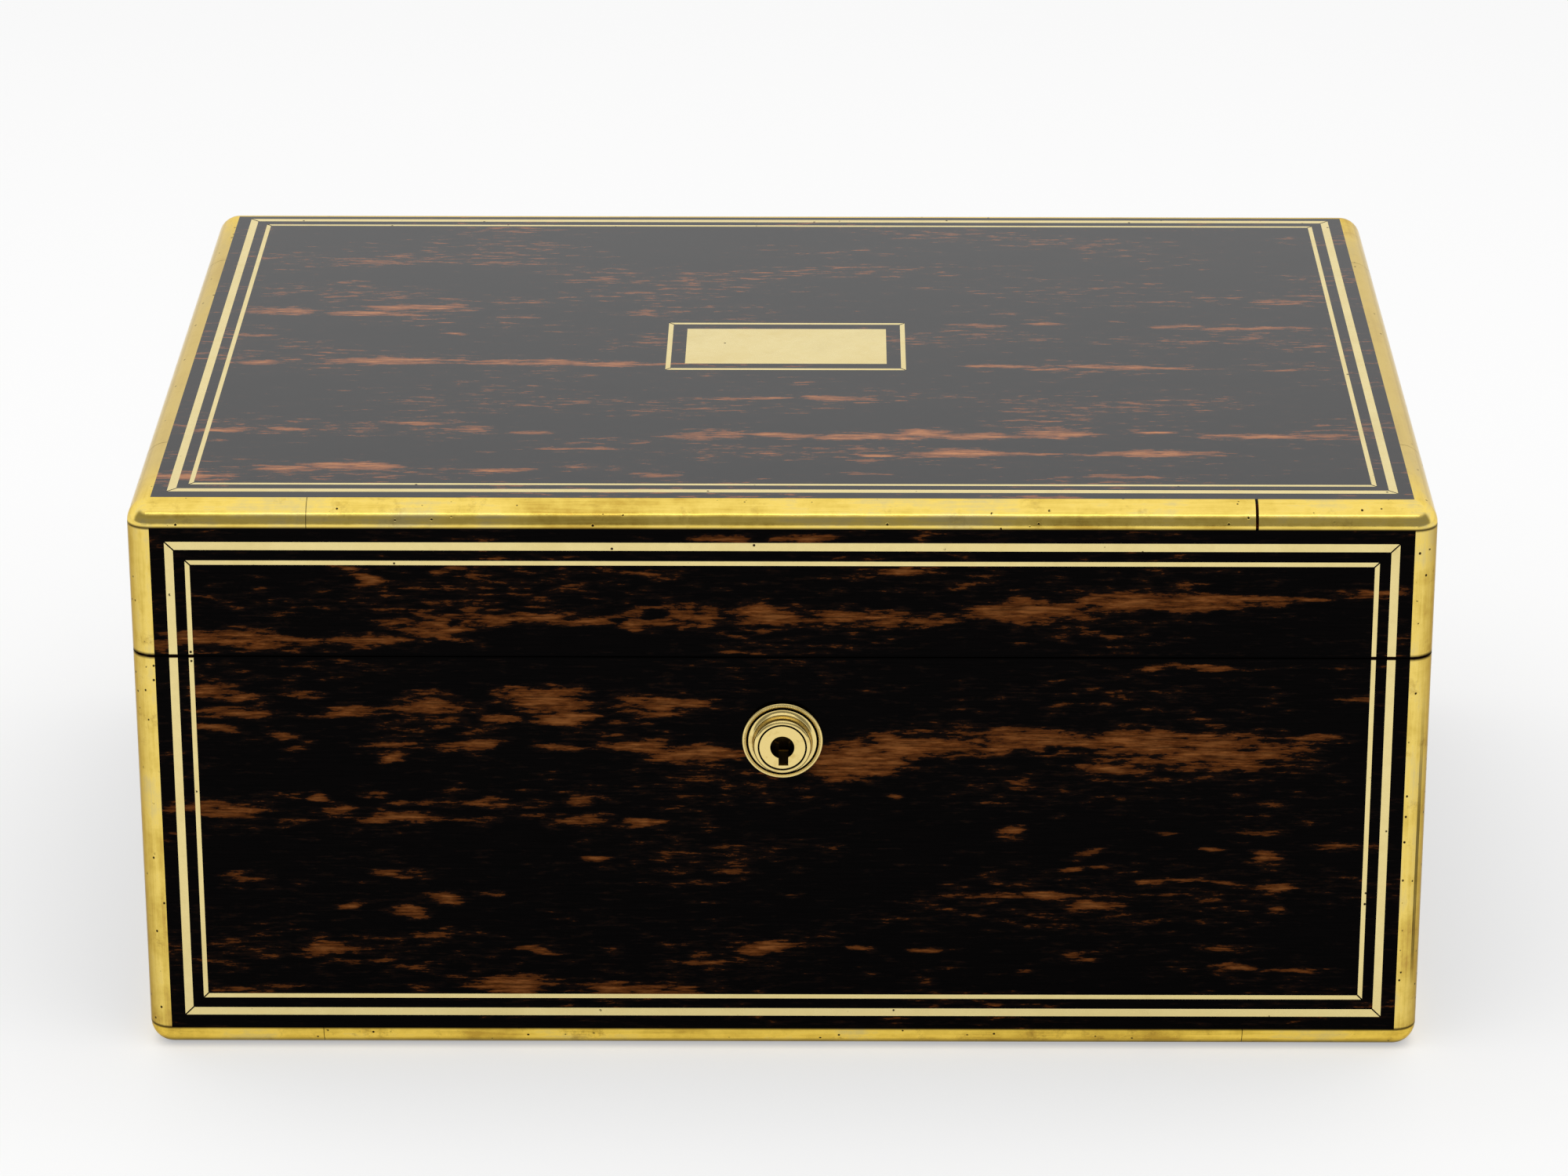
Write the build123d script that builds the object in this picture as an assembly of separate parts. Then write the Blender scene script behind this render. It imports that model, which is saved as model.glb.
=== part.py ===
from build123d import *
import os

# Antique jewellery box: a brass-edged wooden case and lid, veneered, with brass line inlay,
# a link-plate lock, two stopped butt hinges, a velvet lining and a lift-out tray.
# Millimetres. X runs left to right, Y from front to back and Z up from the underside.

# The box outside
box_width = 305.0
box_depth = 220.0
box_height = 140.0
lid_height = 37.7
rim_gap = 0.3
veneer_thickness = 1.2
wall_board = 8.0
lid_board = 7.0
bottom_board = 6.0
underside_leather = 1.0

# Brass edging, a solid quarter round let into every outside edge
edging_radius = 5.6
corner_leg = 42.0
edging_seam = 0.15
shrunk_seam = 0.7

# Brass lines let into the veneer
string_depth = 0.9
wide_string = 2.0
fine_string = 1.1
outer_band = 3.4
top_front_band = 3.7
top_back_band = 2.0
inner_band = 2.6
mitre_gap = 0.2

# Name plate on the lid
plate_length = 50.0
plate_width = 26.0
plate_border_length = 59.5
plate_border_width = 35.2
plate_border_string = 1.2
plate_behind_centre = 1.5

# Lining and tray bearers inside the case. The lining's lip stands up into the lid.
lining_thickness = 2.0
lip_height = 3.0
lip_set_back = 0.3
bearer_thickness = 4.0
floor_pad_thickness = 3.0
pad_clearance = 0.3
pad_rounding = 0.6

# Lift-out tray
tray_clearance = 0.5
tray_below_joint = 4.3
tray_height = 38.0
tray_wall = 4.0
tray_floor = 3.0
divider_thickness = 3.0
divider_height = 28.0
side_divider_x = 70.0
cross_divider_y = 5.0
tray_pad_thickness = 3.0
ring_roll_count = 8
ring_roll_slit = 0.8
ring_roll_height = 16.0
knob_radius = 2.8
knob_neck_radius = 1.1
knob_height = 10.0
knob_collar_height = 1.0

# Lining inside the lid
lid_frame_width = 20.0
lid_frame_thickness = 4.0
lid_lining_thickness = 1.5
lip_clearance = 1.0
lid_pad_thickness = 8.5
lid_pad_rounding = 0.7

# Hinges
hinge_spacing = 190.0
hinge_length = 34.0
knuckle_count = 5
knuckle_radius = 2.3
knuckle_gap = 0.2
knuckle_clearance = 0.25
hinge_axis_behind = 1.0
leaf_thickness = 1.2
leaf_width = 7.4
hinge_pin_radius = 1.0
pin_seat_clearance = 0.02
pin_running_clearance = 0.06

# Screws
screw_radius = 0.9
screw_head_radius = 1.8
screw_length = 6.5
screw_slot_width = 0.4
screw_slot_depth = 0.5
screw_clearance = 0.05

# Lock
key_below_joint = 20.8
keyhole_radius = 2.85
keyhole_slot_width = 2.3
keyhole_slot_reach = 4.6
keyhole_slot_right = 0.25
lock_width = 48.0
lock_drop = 12.5
lock_thickness = 6.0
lock_sheet = 0.9
mortise_clearance = 0.2
selvedge_length = 60.0
selvedge_depth = 6.5
selvedge_thickness = 1.6
link_spacing = 26.0
link_thickness = 2.0
link_width = 3.8
link_reach = 8.2
link_foot = 1.2
link_window_width = 2.2
link_window_height = 4.0
link_plate_thickness = 1.4
link_clearance = 0.5
bolt_thickness = 1.6
bolt_travel = 4.0
bolt_end_clearance = 1.6
bolt_over_key = 3.5
bolt_under_links = 1.25
bolt_finger_height = 2.4
bolt_riser_width = 3.0
bolt_notch_depth = 2.0
bolt_stump = 1.6
bolt_guide_radius = 1.0
bolt_guide_x = 11.5
bolt_guide_clearance = 0.08
lever_thickness = 1.0
lever_over_key = 3.1
lever_height = 5.9
lever_lift = 1.8
lever_pivot_inset = 7.0
lever_pivot_radius = 1.3
lever_pivot_clearance = 0.08
lever_eye_wall = 1.5
lever_nose_x = 15.0
lever_plane_gap = 0.15
spring_thickness = 0.4

# Keyhole surround
escutcheon_radius = 9.5
escutcheon_rim = 1.5
escutcheon_edge_round = 0.5
escutcheon_groove_radius = 8.36
escutcheon_groove = 0.3
boss_radius = 6.8
boss_proud = 5.2
boss_edge_round = 0.8
nozzle_radius = 5.4
nozzle_groove = 0.3
spigot_radius = 7.2
spigot_depth = 0.8

# Places worked out from the sizes above
half_width = box_width / 2
half_depth = box_depth / 2
joint_z = box_height - lid_height
case_rim = joint_z - rim_gap / 2
lid_rim = joint_z + rim_gap / 2
wall_thickness = veneer_thickness + wall_board
inner_x = half_width - wall_thickness
inner_y = half_depth - wall_thickness
case_floor = underside_leather + bottom_board
lid_ceiling = box_height - veneer_thickness - lid_board
lined_x = inner_x - lining_thickness
lined_y = inner_y - lining_thickness
bearer_top = joint_z - tray_below_joint - tray_height
key_height = joint_z - key_below_joint
hinge_axis_y = half_depth + hinge_axis_behind


def block(low, high):
    """A box between two opposite corners."""
    size = [b - a for a, b in zip(low, high)]
    centre = [(a + b) / 2 for a, b in zip(low, high)]
    return Pos(*centre) * Box(*size)


def prism(points, plane, depth):
    """A flat outline drawn on a plane and made depth thick along the plane's normal."""
    outline = plane * make_face(Polyline(*points, close=True))
    return extrude(outline, amount=depth, dir=plane.z_dir)


def group(pieces):
    """Separate solids kept together as one sub-part."""
    return Compound([solid for piece in pieces for solid in piece.solids()])


def in_four_corners(piece):
    """A piece at the front left corner, and its mirror images at the other three."""
    right = mirror(piece, about=Plane.YZ)
    return [piece, right, mirror(piece, about=Plane.XZ), mirror(right, about=Plane.XZ)]


def upside_down(piece):
    """A piece of the top edge turned over to the same place on the bottom edge."""
    return mirror(piece, about=Plane.XY.offset(box_height / 2))


def mitred_frame(left, right, low, high, width, plane, depth, end_gap=0.0):
    """Four mitred bars just inside a rectangle: low, right, high and left bar."""
    gap = end_gap / 2
    bars = [
        [(left + gap, low), (right - gap, low)],
        [(right, low + gap), (right, high - gap)],
        [(right - gap, high), (left + gap, high)],
        [(left, high - gap), (left, low + gap)],
    ]
    inward = [(0, 1), (-1, 0), (0, -1), (1, 0)]
    pieces = []
    for (start, end), (nx, ny) in zip(bars, inward):
        run = [(b > a) - (b < a) for a, b in zip(start, end)]
        inner_end = (end[0] + width * (nx - run[0]), end[1] + width * (ny - run[1]))
        inner_start = (start[0] + width * (nx + run[0]), start[1] + width * (ny + run[1]))
        pieces.append(prism([start, end, inner_end, inner_start], plane, depth))
    return pieces


def wall_ring(half_x, half_y, thickness, low, high):
    """Four mitred upright boards round a rectangle: front, right, back and left."""
    return mitred_frame(
        -half_x, half_x, -half_y, half_y, thickness, Plane.XY.offset(low), high - low
    )


# Brass edging


def edging_rebates():
    """The square rebates that take the quarter rounds, along every outside edge."""
    r = edging_radius
    low_corner = (-half_width, -half_depth, 0)
    posts = in_four_corners(block(low_corner, (r - half_width, r - half_depth, box_height)))
    outside = block(low_corner, (half_width, half_depth, r))
    inside = block((r - half_width, r - half_depth, 0), (half_width - r, half_depth - r, r))
    ring = outside - inside
    return Part() + posts + [ring, Pos(0, 0, box_height - r) * ring]


def post(low, high):
    """The quarter round on one upright corner, between two heights."""
    r = edging_radius
    rod = Pos(r - half_width, r - half_depth, (low + high) / 2) * Cylinder(r, high - low)
    return rod & block((-half_width, -half_depth, low), (r - half_width, r - half_depth, high))


def edge_along_x(start, end):
    """The quarter round on the top front edge, between two places along X."""
    r = edging_radius
    middle = (start + end) / 2
    rod = Pos(middle, r - half_depth, box_height - r) * Rot(0, 90, 0) * Cylinder(r, end - start)
    corner = block((start, -half_depth, box_height - r), (end, r - half_depth, box_height))
    return rod & corner


def edge_along_y(start, end):
    """The quarter round on the top left edge, between two places along Y."""
    r = edging_radius
    middle = (start + end) / 2
    rod = Pos(r - half_width, middle, box_height - r) * Rot(90, 0, 0) * Cylinder(r, end - start)
    corner = block((-half_width, start, box_height - r), (r - half_width, end, box_height))
    return rod & corner


def corner_casting():
    """The L-shaped corner piece, with a ball corner where three edges meet."""
    r = edging_radius
    ball = Pos(r - half_width, r - half_depth, box_height - r) * Sphere(r)
    eighth = block(
        (-half_width, -half_depth, box_height - r),
        (r - half_width, r - half_depth, box_height),
    )
    front_leg = edge_along_x(r - half_width, corner_leg - half_width)
    side_leg = edge_along_y(r - half_depth, corner_leg - half_depth)
    return (ball & eighth) + front_leg + side_leg


def edge_strips(right_seam):
    """The four straight strips between the corner pieces of the top edge."""
    reach_x = half_width - corner_leg - edging_seam
    reach_y = half_depth - corner_leg - edging_seam
    front = edge_along_x(-reach_x, reach_x + edging_seam - right_seam)
    back = mirror(edge_along_x(-reach_x, reach_x), about=Plane.XZ)
    left = edge_along_y(-reach_y, reach_y)
    return [front, back, left, mirror(left, about=Plane.YZ)]


# Brass lines on the front and the top

front_plane = Plane(origin=(0, -half_depth, 0), x_dir=(1, 0, 0), z_dir=(0, -1, 0))
top_plane = Plane.XY.offset(box_height)


def front_lines(string, inset, depth, end_gap):
    """A rectangle of brass line on the front, across lid and case."""
    plane = front_plane.offset(-depth)
    side = half_width - inset
    return mitred_frame(-side, side, inset, box_height - inset, string, plane, depth, end_gap)


def top_lines(string, inset, depth, end_gap):
    """A rectangle of brass line on the lid's top. inset is the left and right one."""
    plane = top_plane.offset(-depth)
    side = half_width - inset
    front = top_front_band - outer_band + inset - half_depth
    back = half_depth - (top_back_band - outer_band + inset)
    return mitred_frame(-side, side, front, back, string, plane, depth, end_gap)


wide_inset = edging_radius + outer_band
fine_inset = wide_inset + wide_string + inner_band


def plate_border(depth, end_gap):
    """The fine brass frame round the name plate."""
    middle = plate_behind_centre
    return mitred_frame(
        -plate_border_length / 2,
        plate_border_length / 2,
        middle - plate_border_width / 2,
        middle + plate_border_width / 2,
        plate_border_string,
        top_plane.offset(-depth),
        depth,
        end_gap,
    )


def name_plate():
    """The blank brass plate let into the lid."""
    middle = plate_behind_centre
    return block(
        (-plate_length / 2, middle - plate_width / 2, box_height - string_depth),
        (plate_length / 2, middle + plate_width / 2, box_height),
    )


lid_zone = block((-box_width, -box_depth, lid_rim), (box_width, box_depth, box_height))
case_zone = block((-box_width, -box_depth, 0), (box_width, box_depth, case_rim))


def lines_in(zone, string, inset):
    """The bars of a front rectangle, cut off at the lid's or the case's rim."""
    bars = front_lines(string, inset, string_depth, mitre_gap)
    return group([cut for cut in (bar & zone for bar in bars) if cut and cut.solids()])


# Hinges


def hinge_places():
    """The middle of each hinge along X."""
    return [-hinge_spacing / 2, hinge_spacing / 2]


def axis_rod(middle, radius, length):
    """A rod on the hinge axis."""
    return Pos(middle, hinge_axis_y, joint_z) * Rot(0, 90, 0) * Cylinder(radius, length)


def knuckles(middle, first, radius, length):
    """Every second knuckle of one hinge, from the first or the second one."""
    pitch = hinge_length / knuckle_count
    start = middle - hinge_length / 2 + pitch / 2
    places = [start + pitch * n for n in range(first, knuckle_count, 2)]
    return [axis_rod(place, radius, length) for place in places]


def leaf_plate(middle, rim, low):
    """The flat of a leaf, let in flush with a rim, below it or above it."""
    far = rim - leaf_thickness if low else rim + leaf_thickness
    return block(
        (middle - hinge_length / 2, half_depth - leaf_width, min(rim, far)),
        (middle + hinge_length / 2, hinge_axis_y, max(rim, far)),
    )


def leaf_screw_places(middle):
    """Three screws along a leaf, set in from its ends."""
    reach = hinge_length / 2 - 2 * screw_head_radius
    y = half_depth - leaf_width / 2 - knuckle_clearance
    return [(middle + dx, y) for dx in (-reach, 0, reach)]


def screw(extra=0.0, slotted=True):
    """A countersunk screw with its head at the origin and its shank below."""
    head_height = screw_head_radius - screw_radius
    r, big = screw_radius + extra, screw_head_radius + extra
    head = Pos(0, 0, -head_height / 2) * Cone(r, big, head_height)
    shank = Pos(0, 0, -screw_length / 2) * Cylinder(r, screw_length + 2 * extra)
    body = head + (shank & block((-big, -big, -screw_length - extra), (big, big, 0)))
    if slotted:
        half_slot = screw_slot_width / 2
        body -= block((-big, -half_slot, -screw_slot_depth), (big, half_slot, 0))
    return body


def screws_at(places, rim, points_down, extra=0.0, slotted=True):
    """Screws in a rim: pointing down into the case, or up into the lid."""
    turn = Rot(0, 0, 0) if points_down else Rot(180, 0, 0)
    return [Pos(x, y, rim) * turn * screw(extra, slotted) for x, y in places]


def hinge_leaf(middle, rim, low, first):
    """One leaf with its own knuckles, clear of the other leaf's."""
    pitch = hinge_length / knuckle_count
    own = knuckles(middle, first, knuckle_radius, pitch - knuckle_gap)
    loose = pin_seat_clearance if low else pin_running_clearance
    bore = axis_rod(middle, hinge_pin_radius + loose, hinge_length + 1)
    reach = knuckle_radius + knuckle_clearance
    other = knuckles(middle, 1 - first, reach, pitch + knuckle_gap)
    leaf = leaf_plate(middle, rim, low) - other
    leaf = leaf + own - bore
    return leaf - screws_at(leaf_screw_places(middle), rim, low, screw_clearance, False)


def hinge_recess(middle, rim, low):
    """The room for a leaf and the whole row of knuckles in a back board."""
    room = axis_rod(middle, knuckle_radius + knuckle_clearance, hinge_length + 2 * knuckle_gap)
    return leaf_plate(middle, rim, low) + room


def hinge_pins():
    """One pin in each hinge, held by the case's knuckles."""
    return group([axis_rod(middle, hinge_pin_radius, hinge_length) for middle in hinge_places()])


# Lock

lock_back = -inner_y
lock_front = lock_back - lock_thickness
lock_low = key_height - lock_drop
lock_half = lock_width / 2
cavity_middle_y = (lock_front + lock_back) / 2
selvedge_under = case_rim - selvedge_thickness
selvedge_front = lock_back - selvedge_depth
selvedge_half = selvedge_length / 2
selvedge_screw_x = (selvedge_half + lock_half) / 2
link_places = [-link_spacing / 2, link_spacing / 2]
link_low = lid_rim - link_reach
window_low = link_low + link_foot
window_high = window_low + link_window_height
bolt_front = cavity_middle_y - bolt_thickness / 2
bolt_back = cavity_middle_y + bolt_thickness / 2
bolt_right = lock_half - lock_sheet - bolt_travel - bolt_end_clearance
bolt_low = key_height + bolt_over_key
bolt_high = link_low - bolt_under_links
bolt_middle_z = (bolt_low + bolt_high) / 2
lever_back = lock_back - lock_sheet - lever_plane_gap
lever_front = lever_back - lever_thickness
lever_low = key_height + lever_over_key
lever_high = lever_low + lever_height
lever_pivot_x = lever_pivot_inset - lock_half
lever_pivot_z = (lever_low + lever_high) / 2
stump_low = lever_pivot_z
stump_high = stump_low + bolt_stump


def rod_along_y(x, z, radius, front, back):
    """A round rod from front to back."""
    turn = Pos(x, (front + back) / 2, z) * Rot(90, 0, 0)
    return turn * Cylinder(radius, back - front)


def keyhole(front, back):
    """The round and slot of the keyhole, cut from front to back."""
    half_slot = keyhole_slot_width / 2
    slot = block(
        (keyhole_slot_right - half_slot, front, key_height - keyhole_slot_reach),
        (keyhole_slot_right + half_slot, back, key_height),
    )
    return rod_along_y(0, key_height, keyhole_radius, front, back) + slot


def lock_box():
    """The folded sheet box that holds the bolt and lever, with their fixed studs."""
    outside = block(
        (-lock_half, lock_front, lock_low), (lock_half, lock_back - lock_sheet, selvedge_under)
    )
    sheet_back = lock_front + lock_sheet
    inside = block(
        (lock_sheet - lock_half, sheet_back, lock_low + lock_sheet),
        (lock_half - lock_sheet, lock_back - lock_sheet, selvedge_under),
    )
    box = outside - inside - keyhole(lock_front, sheet_back)
    box += rod_along_y(lever_pivot_x, lever_pivot_z, lever_pivot_radius, sheet_back, lever_back)
    box += rod_along_y(bolt_guide_x, bolt_middle_z, bolt_guide_radius, sheet_back, bolt_back)
    return box


def lock_cover():
    """The plate that closes the back of the lock box."""
    return block(
        (-lock_half, lock_back - lock_sheet, lock_low), (lock_half, lock_back, selvedge_under)
    )


def lock_screw_places():
    """One screw near each end of the selvedge and of the link plate."""
    middle_y = lock_back - selvedge_depth / 2
    return [(-selvedge_screw_x, middle_y), (selvedge_screw_x, middle_y)]


def selvedge():
    """The lock's top plate, flush with the case's rim, with a slot for each link."""
    plate = block(
        (-selvedge_half, selvedge_front, selvedge_under), (selvedge_half, lock_back, case_rim)
    )
    for x in link_places:
        reach_x = link_thickness / 2 + link_clearance
        reach_y = link_width / 2 + link_clearance
        plate -= block(
            (x - reach_x, cavity_middle_y - reach_y, selvedge_under),
            (x + reach_x, cavity_middle_y + reach_y, case_rim),
        )
    return plate - screws_at(lock_screw_places(), case_rim, True, screw_clearance, False)


def link_plate():
    """The plate in the lid's rim with two links that drop into the lock."""
    plate = block(
        (-selvedge_half, selvedge_front, lid_rim),
        (selvedge_half, lock_back, lid_rim + link_plate_thickness),
    )
    for x in link_places:
        link = block(
            (x - link_thickness / 2, cavity_middle_y - link_width / 2, link_low),
            (x + link_thickness / 2, cavity_middle_y + link_width / 2, lid_rim),
        )
        window = block(
            (x - link_thickness, cavity_middle_y - link_window_width / 2, window_low),
            (x + link_thickness, cavity_middle_y + link_window_width / 2, window_high),
        )
        plate += link - window
    return plate - screws_at(lock_screw_places(), lid_rim, False, screw_clearance, False)


def guide_slot(x, z, stud_radius):
    """The slot in the bolt for a fixed stud, as long as the bolt's travel."""
    radius = stud_radius + bolt_guide_clearance
    slot = block(
        (x - bolt_travel, bolt_front, z - radius),
        (x, bolt_back, z + radius),
    )
    ends = [rod_along_y(end, z, radius, bolt_front, bolt_back) for end in (x - bolt_travel, x)]
    return slot + ends


def lock_bolt():
    """The sliding bolt, drawn back: a plate with two fingers that pass the links."""
    tips = [x - link_thickness / 2 - link_clearance for x in link_places]
    left = tips[0] - bolt_travel - bolt_riser_width
    bolt = block((left, bolt_front, bolt_low), (bolt_right, bolt_back, bolt_high))
    finger_low = (window_low + window_high - bolt_finger_height) / 2
    finger_high = finger_low + bolt_finger_height
    for tip in tips:
        riser_right = tip - bolt_travel
        riser_left = riser_right - bolt_riser_width
        bolt += block((riser_left, bolt_front, bolt_high), (riser_right, bolt_back, finger_high))
        bolt += block((riser_right, bolt_front, finger_low), (tip, bolt_back, finger_high))
    bolt -= block(
        (-keyhole_radius, bolt_front, bolt_low),
        (keyhole_radius, bolt_back, bolt_low + bolt_notch_depth),
    )
    bolt -= guide_slot(lever_pivot_x, lever_pivot_z, lever_pivot_radius)
    bolt -= guide_slot(bolt_guide_x, bolt_middle_z, bolt_guide_radius)
    half = bolt_stump / 2
    return bolt + block((-half, bolt_back, stump_low), (half, lever_back, stump_high))


def lock_lever():
    """The pivoted lever that the key lifts, with room in it for the bolt's stump."""
    body = block(
        (lever_pivot_x, lever_front, lever_low), (lever_nose_x, lever_back, lever_high)
    )
    hole_radius = lever_pivot_radius + lever_pivot_clearance
    eye_radius = hole_radius + lever_eye_wall
    body += rod_along_y(lever_pivot_x, lever_pivot_z, eye_radius, lever_front, lever_back)
    half = bolt_stump / 2 + link_clearance
    body -= block(
        (-half, lever_front, stump_low - lever_lift),
        (half + bolt_travel, lever_back, stump_high + lever_pivot_clearance),
    )
    return body - rod_along_y(lever_pivot_x, lever_pivot_z, hole_radius, lever_front, lever_back)


def lever_spring():
    """The bent strip that holds the lever down, from the lever to the lock box's side."""
    foot_x = lever_pivot_x + lever_pivot_radius
    wall_x = lock_sheet - lock_half
    high = selvedge_under - link_clearance
    t = spring_thickness
    outline = [
        (foot_x, lever_high),
        (foot_x + t, lever_high),
        (wall_x + t, high - t),
        (wall_x + t, high),
        (wall_x, high),
        (wall_x, high - 2 * t),
    ]
    plane = Plane(origin=(0, lever_back, 0), x_dir=(1, 0, 0), z_dir=(0, -1, 0))
    return prism(outline, plane, lever_thickness)


# Keyhole surround

nozzle_plane = Plane(origin=(0, -half_depth, key_height), x_dir=(1, 0, 0), z_dir=(0, 0, -1))
nozzle_axis = Axis((0, -half_depth, key_height), (0, -1, 0))
nozzle_back = -half_depth - lock_front
nozzle_bore = nozzle_radius + nozzle_groove


def turned(*lines):
    """A turned piece from the lines of its outline, as radius and height above the front."""
    outline = nozzle_plane * make_face([edge for line in lines for edge in line.edges()])
    return revolve(outline, axis=nozzle_axis, revolution_arc=360)


def disc(radius, low, high):
    """A turned disc about the nozzle's axis."""
    return turned(Polyline((0, low), (radius, low), (radius, high), (0, high), close=True))


def quarter_arc(centre, radius, across, up):
    """A quarter circle about a centre, from beside it to above or below it."""
    x, y = centre
    half = radius / 2**0.5
    return ThreePointArc(
        (x + across * radius, y), (x + across * half, y + up * half), (x, y + up * radius)
    )


def escutcheon():
    """The round brass surround: a rim, a fine groove, a cove and a raised boss."""
    rim = escutcheon_rim
    edge = escutcheon_radius - escutcheon_edge_round
    groove_out = escutcheon_groove_radius + escutcheon_groove / 2
    groove_in = escutcheon_groove_radius - escutcheon_groove / 2
    cove = groove_in - boss_radius
    boss_edge = boss_radius - boss_edge_round
    return turned(
        Polyline(
            (boss_edge, boss_proud),
            (nozzle_bore, boss_proud),
            (nozzle_bore, -spigot_depth),
            (spigot_radius, -spigot_depth),
            (spigot_radius, 0),
            (escutcheon_radius, 0),
            (escutcheon_radius, rim - escutcheon_edge_round),
        ),
        quarter_arc((edge, rim - escutcheon_edge_round), escutcheon_edge_round, 1, 1),
        Polyline(
            (edge, rim),
            (groove_out, rim),
            (groove_out, rim - escutcheon_groove),
            (groove_in, rim - escutcheon_groove),
            (groove_in, rim),
        ),
        quarter_arc((groove_in, rim + cove), cove, -1, -1),
        Line((boss_radius, rim + cove), (boss_radius, boss_proud - boss_edge_round)),
        quarter_arc((boss_edge, boss_proud - boss_edge_round), boss_edge_round, 1, 1),
    )


def nozzle():
    """The tube of the lock that comes out through the boss, with the keyhole."""
    tube = disc(nozzle_radius, nozzle_back, boss_proud)
    return tube - keyhole(-half_depth - boss_proud, lock_front)


def nozzle_room():
    """The hole for the nozzle and the surround's spigot in veneer and board."""
    return disc(nozzle_bore, nozzle_back, 0) + disc(spigot_radius, -spigot_depth, 0)


# Wooden boards and veneers


def case_boards():
    """Front, right, back and left board of the case, rebated for the edging."""
    ring = wall_ring(
        half_width - veneer_thickness, half_depth - veneer_thickness, wall_board, case_floor, case_rim
    )
    front, right, back, left = [board - rebates for board in ring]
    half = lock_half + mortise_clearance
    front -= block((-half, lock_front, lock_low - mortise_clearance), (half, lock_back, case_rim))
    front -= block(
        (-selvedge_half, selvedge_front, selvedge_under), (selvedge_half, lock_back, case_rim)
    )
    front -= nozzle_room()
    front -= screws_at(lock_screw_places(), case_rim, True, screw_clearance, False)
    for middle in hinge_places():
        back -= hinge_recess(middle, case_rim, True)
        back -= screws_at(leaf_screw_places(middle), case_rim, True, screw_clearance, False)
    return front, right, back, left


def lid_rails():
    """Front, right, back and left rail of the lid, rebated for the edging."""
    ring = wall_ring(
        half_width - veneer_thickness, half_depth - veneer_thickness, wall_board, lid_rim, lid_ceiling
    )
    front, right, back, left = [board - rebates for board in ring]
    front -= block(
        (-selvedge_half, selvedge_front, lid_rim),
        (selvedge_half, lock_back, lid_rim + link_plate_thickness),
    )
    front -= screws_at(lock_screw_places(), lid_rim, False, screw_clearance, False)
    for middle in hinge_places():
        back -= hinge_recess(middle, lid_rim, False)
        back -= screws_at(leaf_screw_places(middle), lid_rim, False, screw_clearance, False)
    return front, right, back, left


def flat_board(low, high):
    """The lid's top board or the case's bottom board, rebated for the edging."""
    x = half_width - veneer_thickness
    y = half_depth - veneer_thickness
    return block((-x, -y, low), (x, y, high)) - rebates


def side_veneer(low, high):
    """The left side's veneer between two heights."""
    y = half_depth - edging_radius
    return block((-half_width, -y, low), (veneer_thickness - half_width, y, high))


def front_veneer(low, high):
    """The front's veneer between two heights, grooved for the brass lines."""
    x = half_width - edging_radius
    sheet = block((-x, -half_depth, low), (x, veneer_thickness - half_depth, high))
    for string, inset in ((wide_string, wide_inset), (fine_string, fine_inset)):
        sheet -= front_lines(string, inset, string_depth, 0)
    return sheet


def back_veneer(low, high, rim):
    """The back's veneer between two heights, cut out round the hinge knuckles."""
    x = half_width - edging_radius
    sheet = block((-x, half_depth - veneer_thickness, low), (x, half_depth, high))
    for middle in hinge_places():
        sheet -= hinge_recess(middle, rim, rim < joint_z)
    return sheet


def top_veneer():
    """The lid's top veneer, grooved for the brass lines and let in for the plate."""
    x = half_width - edging_radius
    y = half_depth - edging_radius
    sheet = block((-x, -y, box_height - veneer_thickness), (x, y, box_height))
    sheet -= top_lines(wide_string, wide_inset, string_depth, 0)
    sheet -= top_lines(fine_string, fine_inset, string_depth, 0)
    sheet -= plate_border(string_depth, 0)
    return sheet - name_plate()


def leather_sheet():
    """The leather under the box, between the bottom edging."""
    x = half_width - edging_radius
    y = half_depth - edging_radius
    return block((-x, -y, 0), (x, y, underside_leather))


# Lining and tray

bearer_inner_x = lined_x - bearer_thickness
tray_x = lined_x - tray_clearance
tray_y = lined_y - tray_clearance
tray_bottom = bearer_top
tray_deck = tray_bottom + tray_floor
tray_inner_x = tray_x - tray_wall
tray_inner_y = tray_y - tray_wall
half_divider = divider_thickness / 2


def wall_lining():
    """Four lined boards round the case, each with a thinner lip that enters the lid."""
    low_ring = wall_ring(inner_x, inner_y, lining_thickness, case_floor, case_rim)
    lip_x = inner_x - lip_set_back
    lip_y = inner_y - lip_set_back
    lip_thickness = lining_thickness - lip_set_back
    lip_ring = wall_ring(lip_x, lip_y, lip_thickness, case_rim, joint_z + lip_height)
    return group([board + lip for board, lip in zip(low_ring, lip_ring)])


def bearers():
    """The two upright strips that the tray rests on."""
    left = block((-lined_x, -lined_y, case_floor), (-bearer_inner_x, lined_y, bearer_top))
    return group([left, mirror(left, about=Plane.YZ)])


def soft_pad(left, right, front, back, base, thickness):
    """A velvet pad with a soft, rounded top edge, clear of what is round it."""
    c = pad_clearance
    pad = block((left + c, front + c, base), (right - c, back - c, base + thickness))
    return fillet(pad.edges().group_by(Axis.Z)[-1], thickness * pad_rounding)


def compartments():
    """The six bays of the tray as left, right, front and back: front row first."""
    columns = [
        (-tray_inner_x, -side_divider_x - half_divider),
        (half_divider - side_divider_x, side_divider_x - half_divider),
        (side_divider_x + half_divider, tray_inner_x),
    ]
    rows = [
        (-tray_inner_y, cross_divider_y - half_divider),
        (cross_divider_y + half_divider, tray_inner_y),
    ]
    return [(*column, *row) for row in rows for column in columns]


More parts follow.
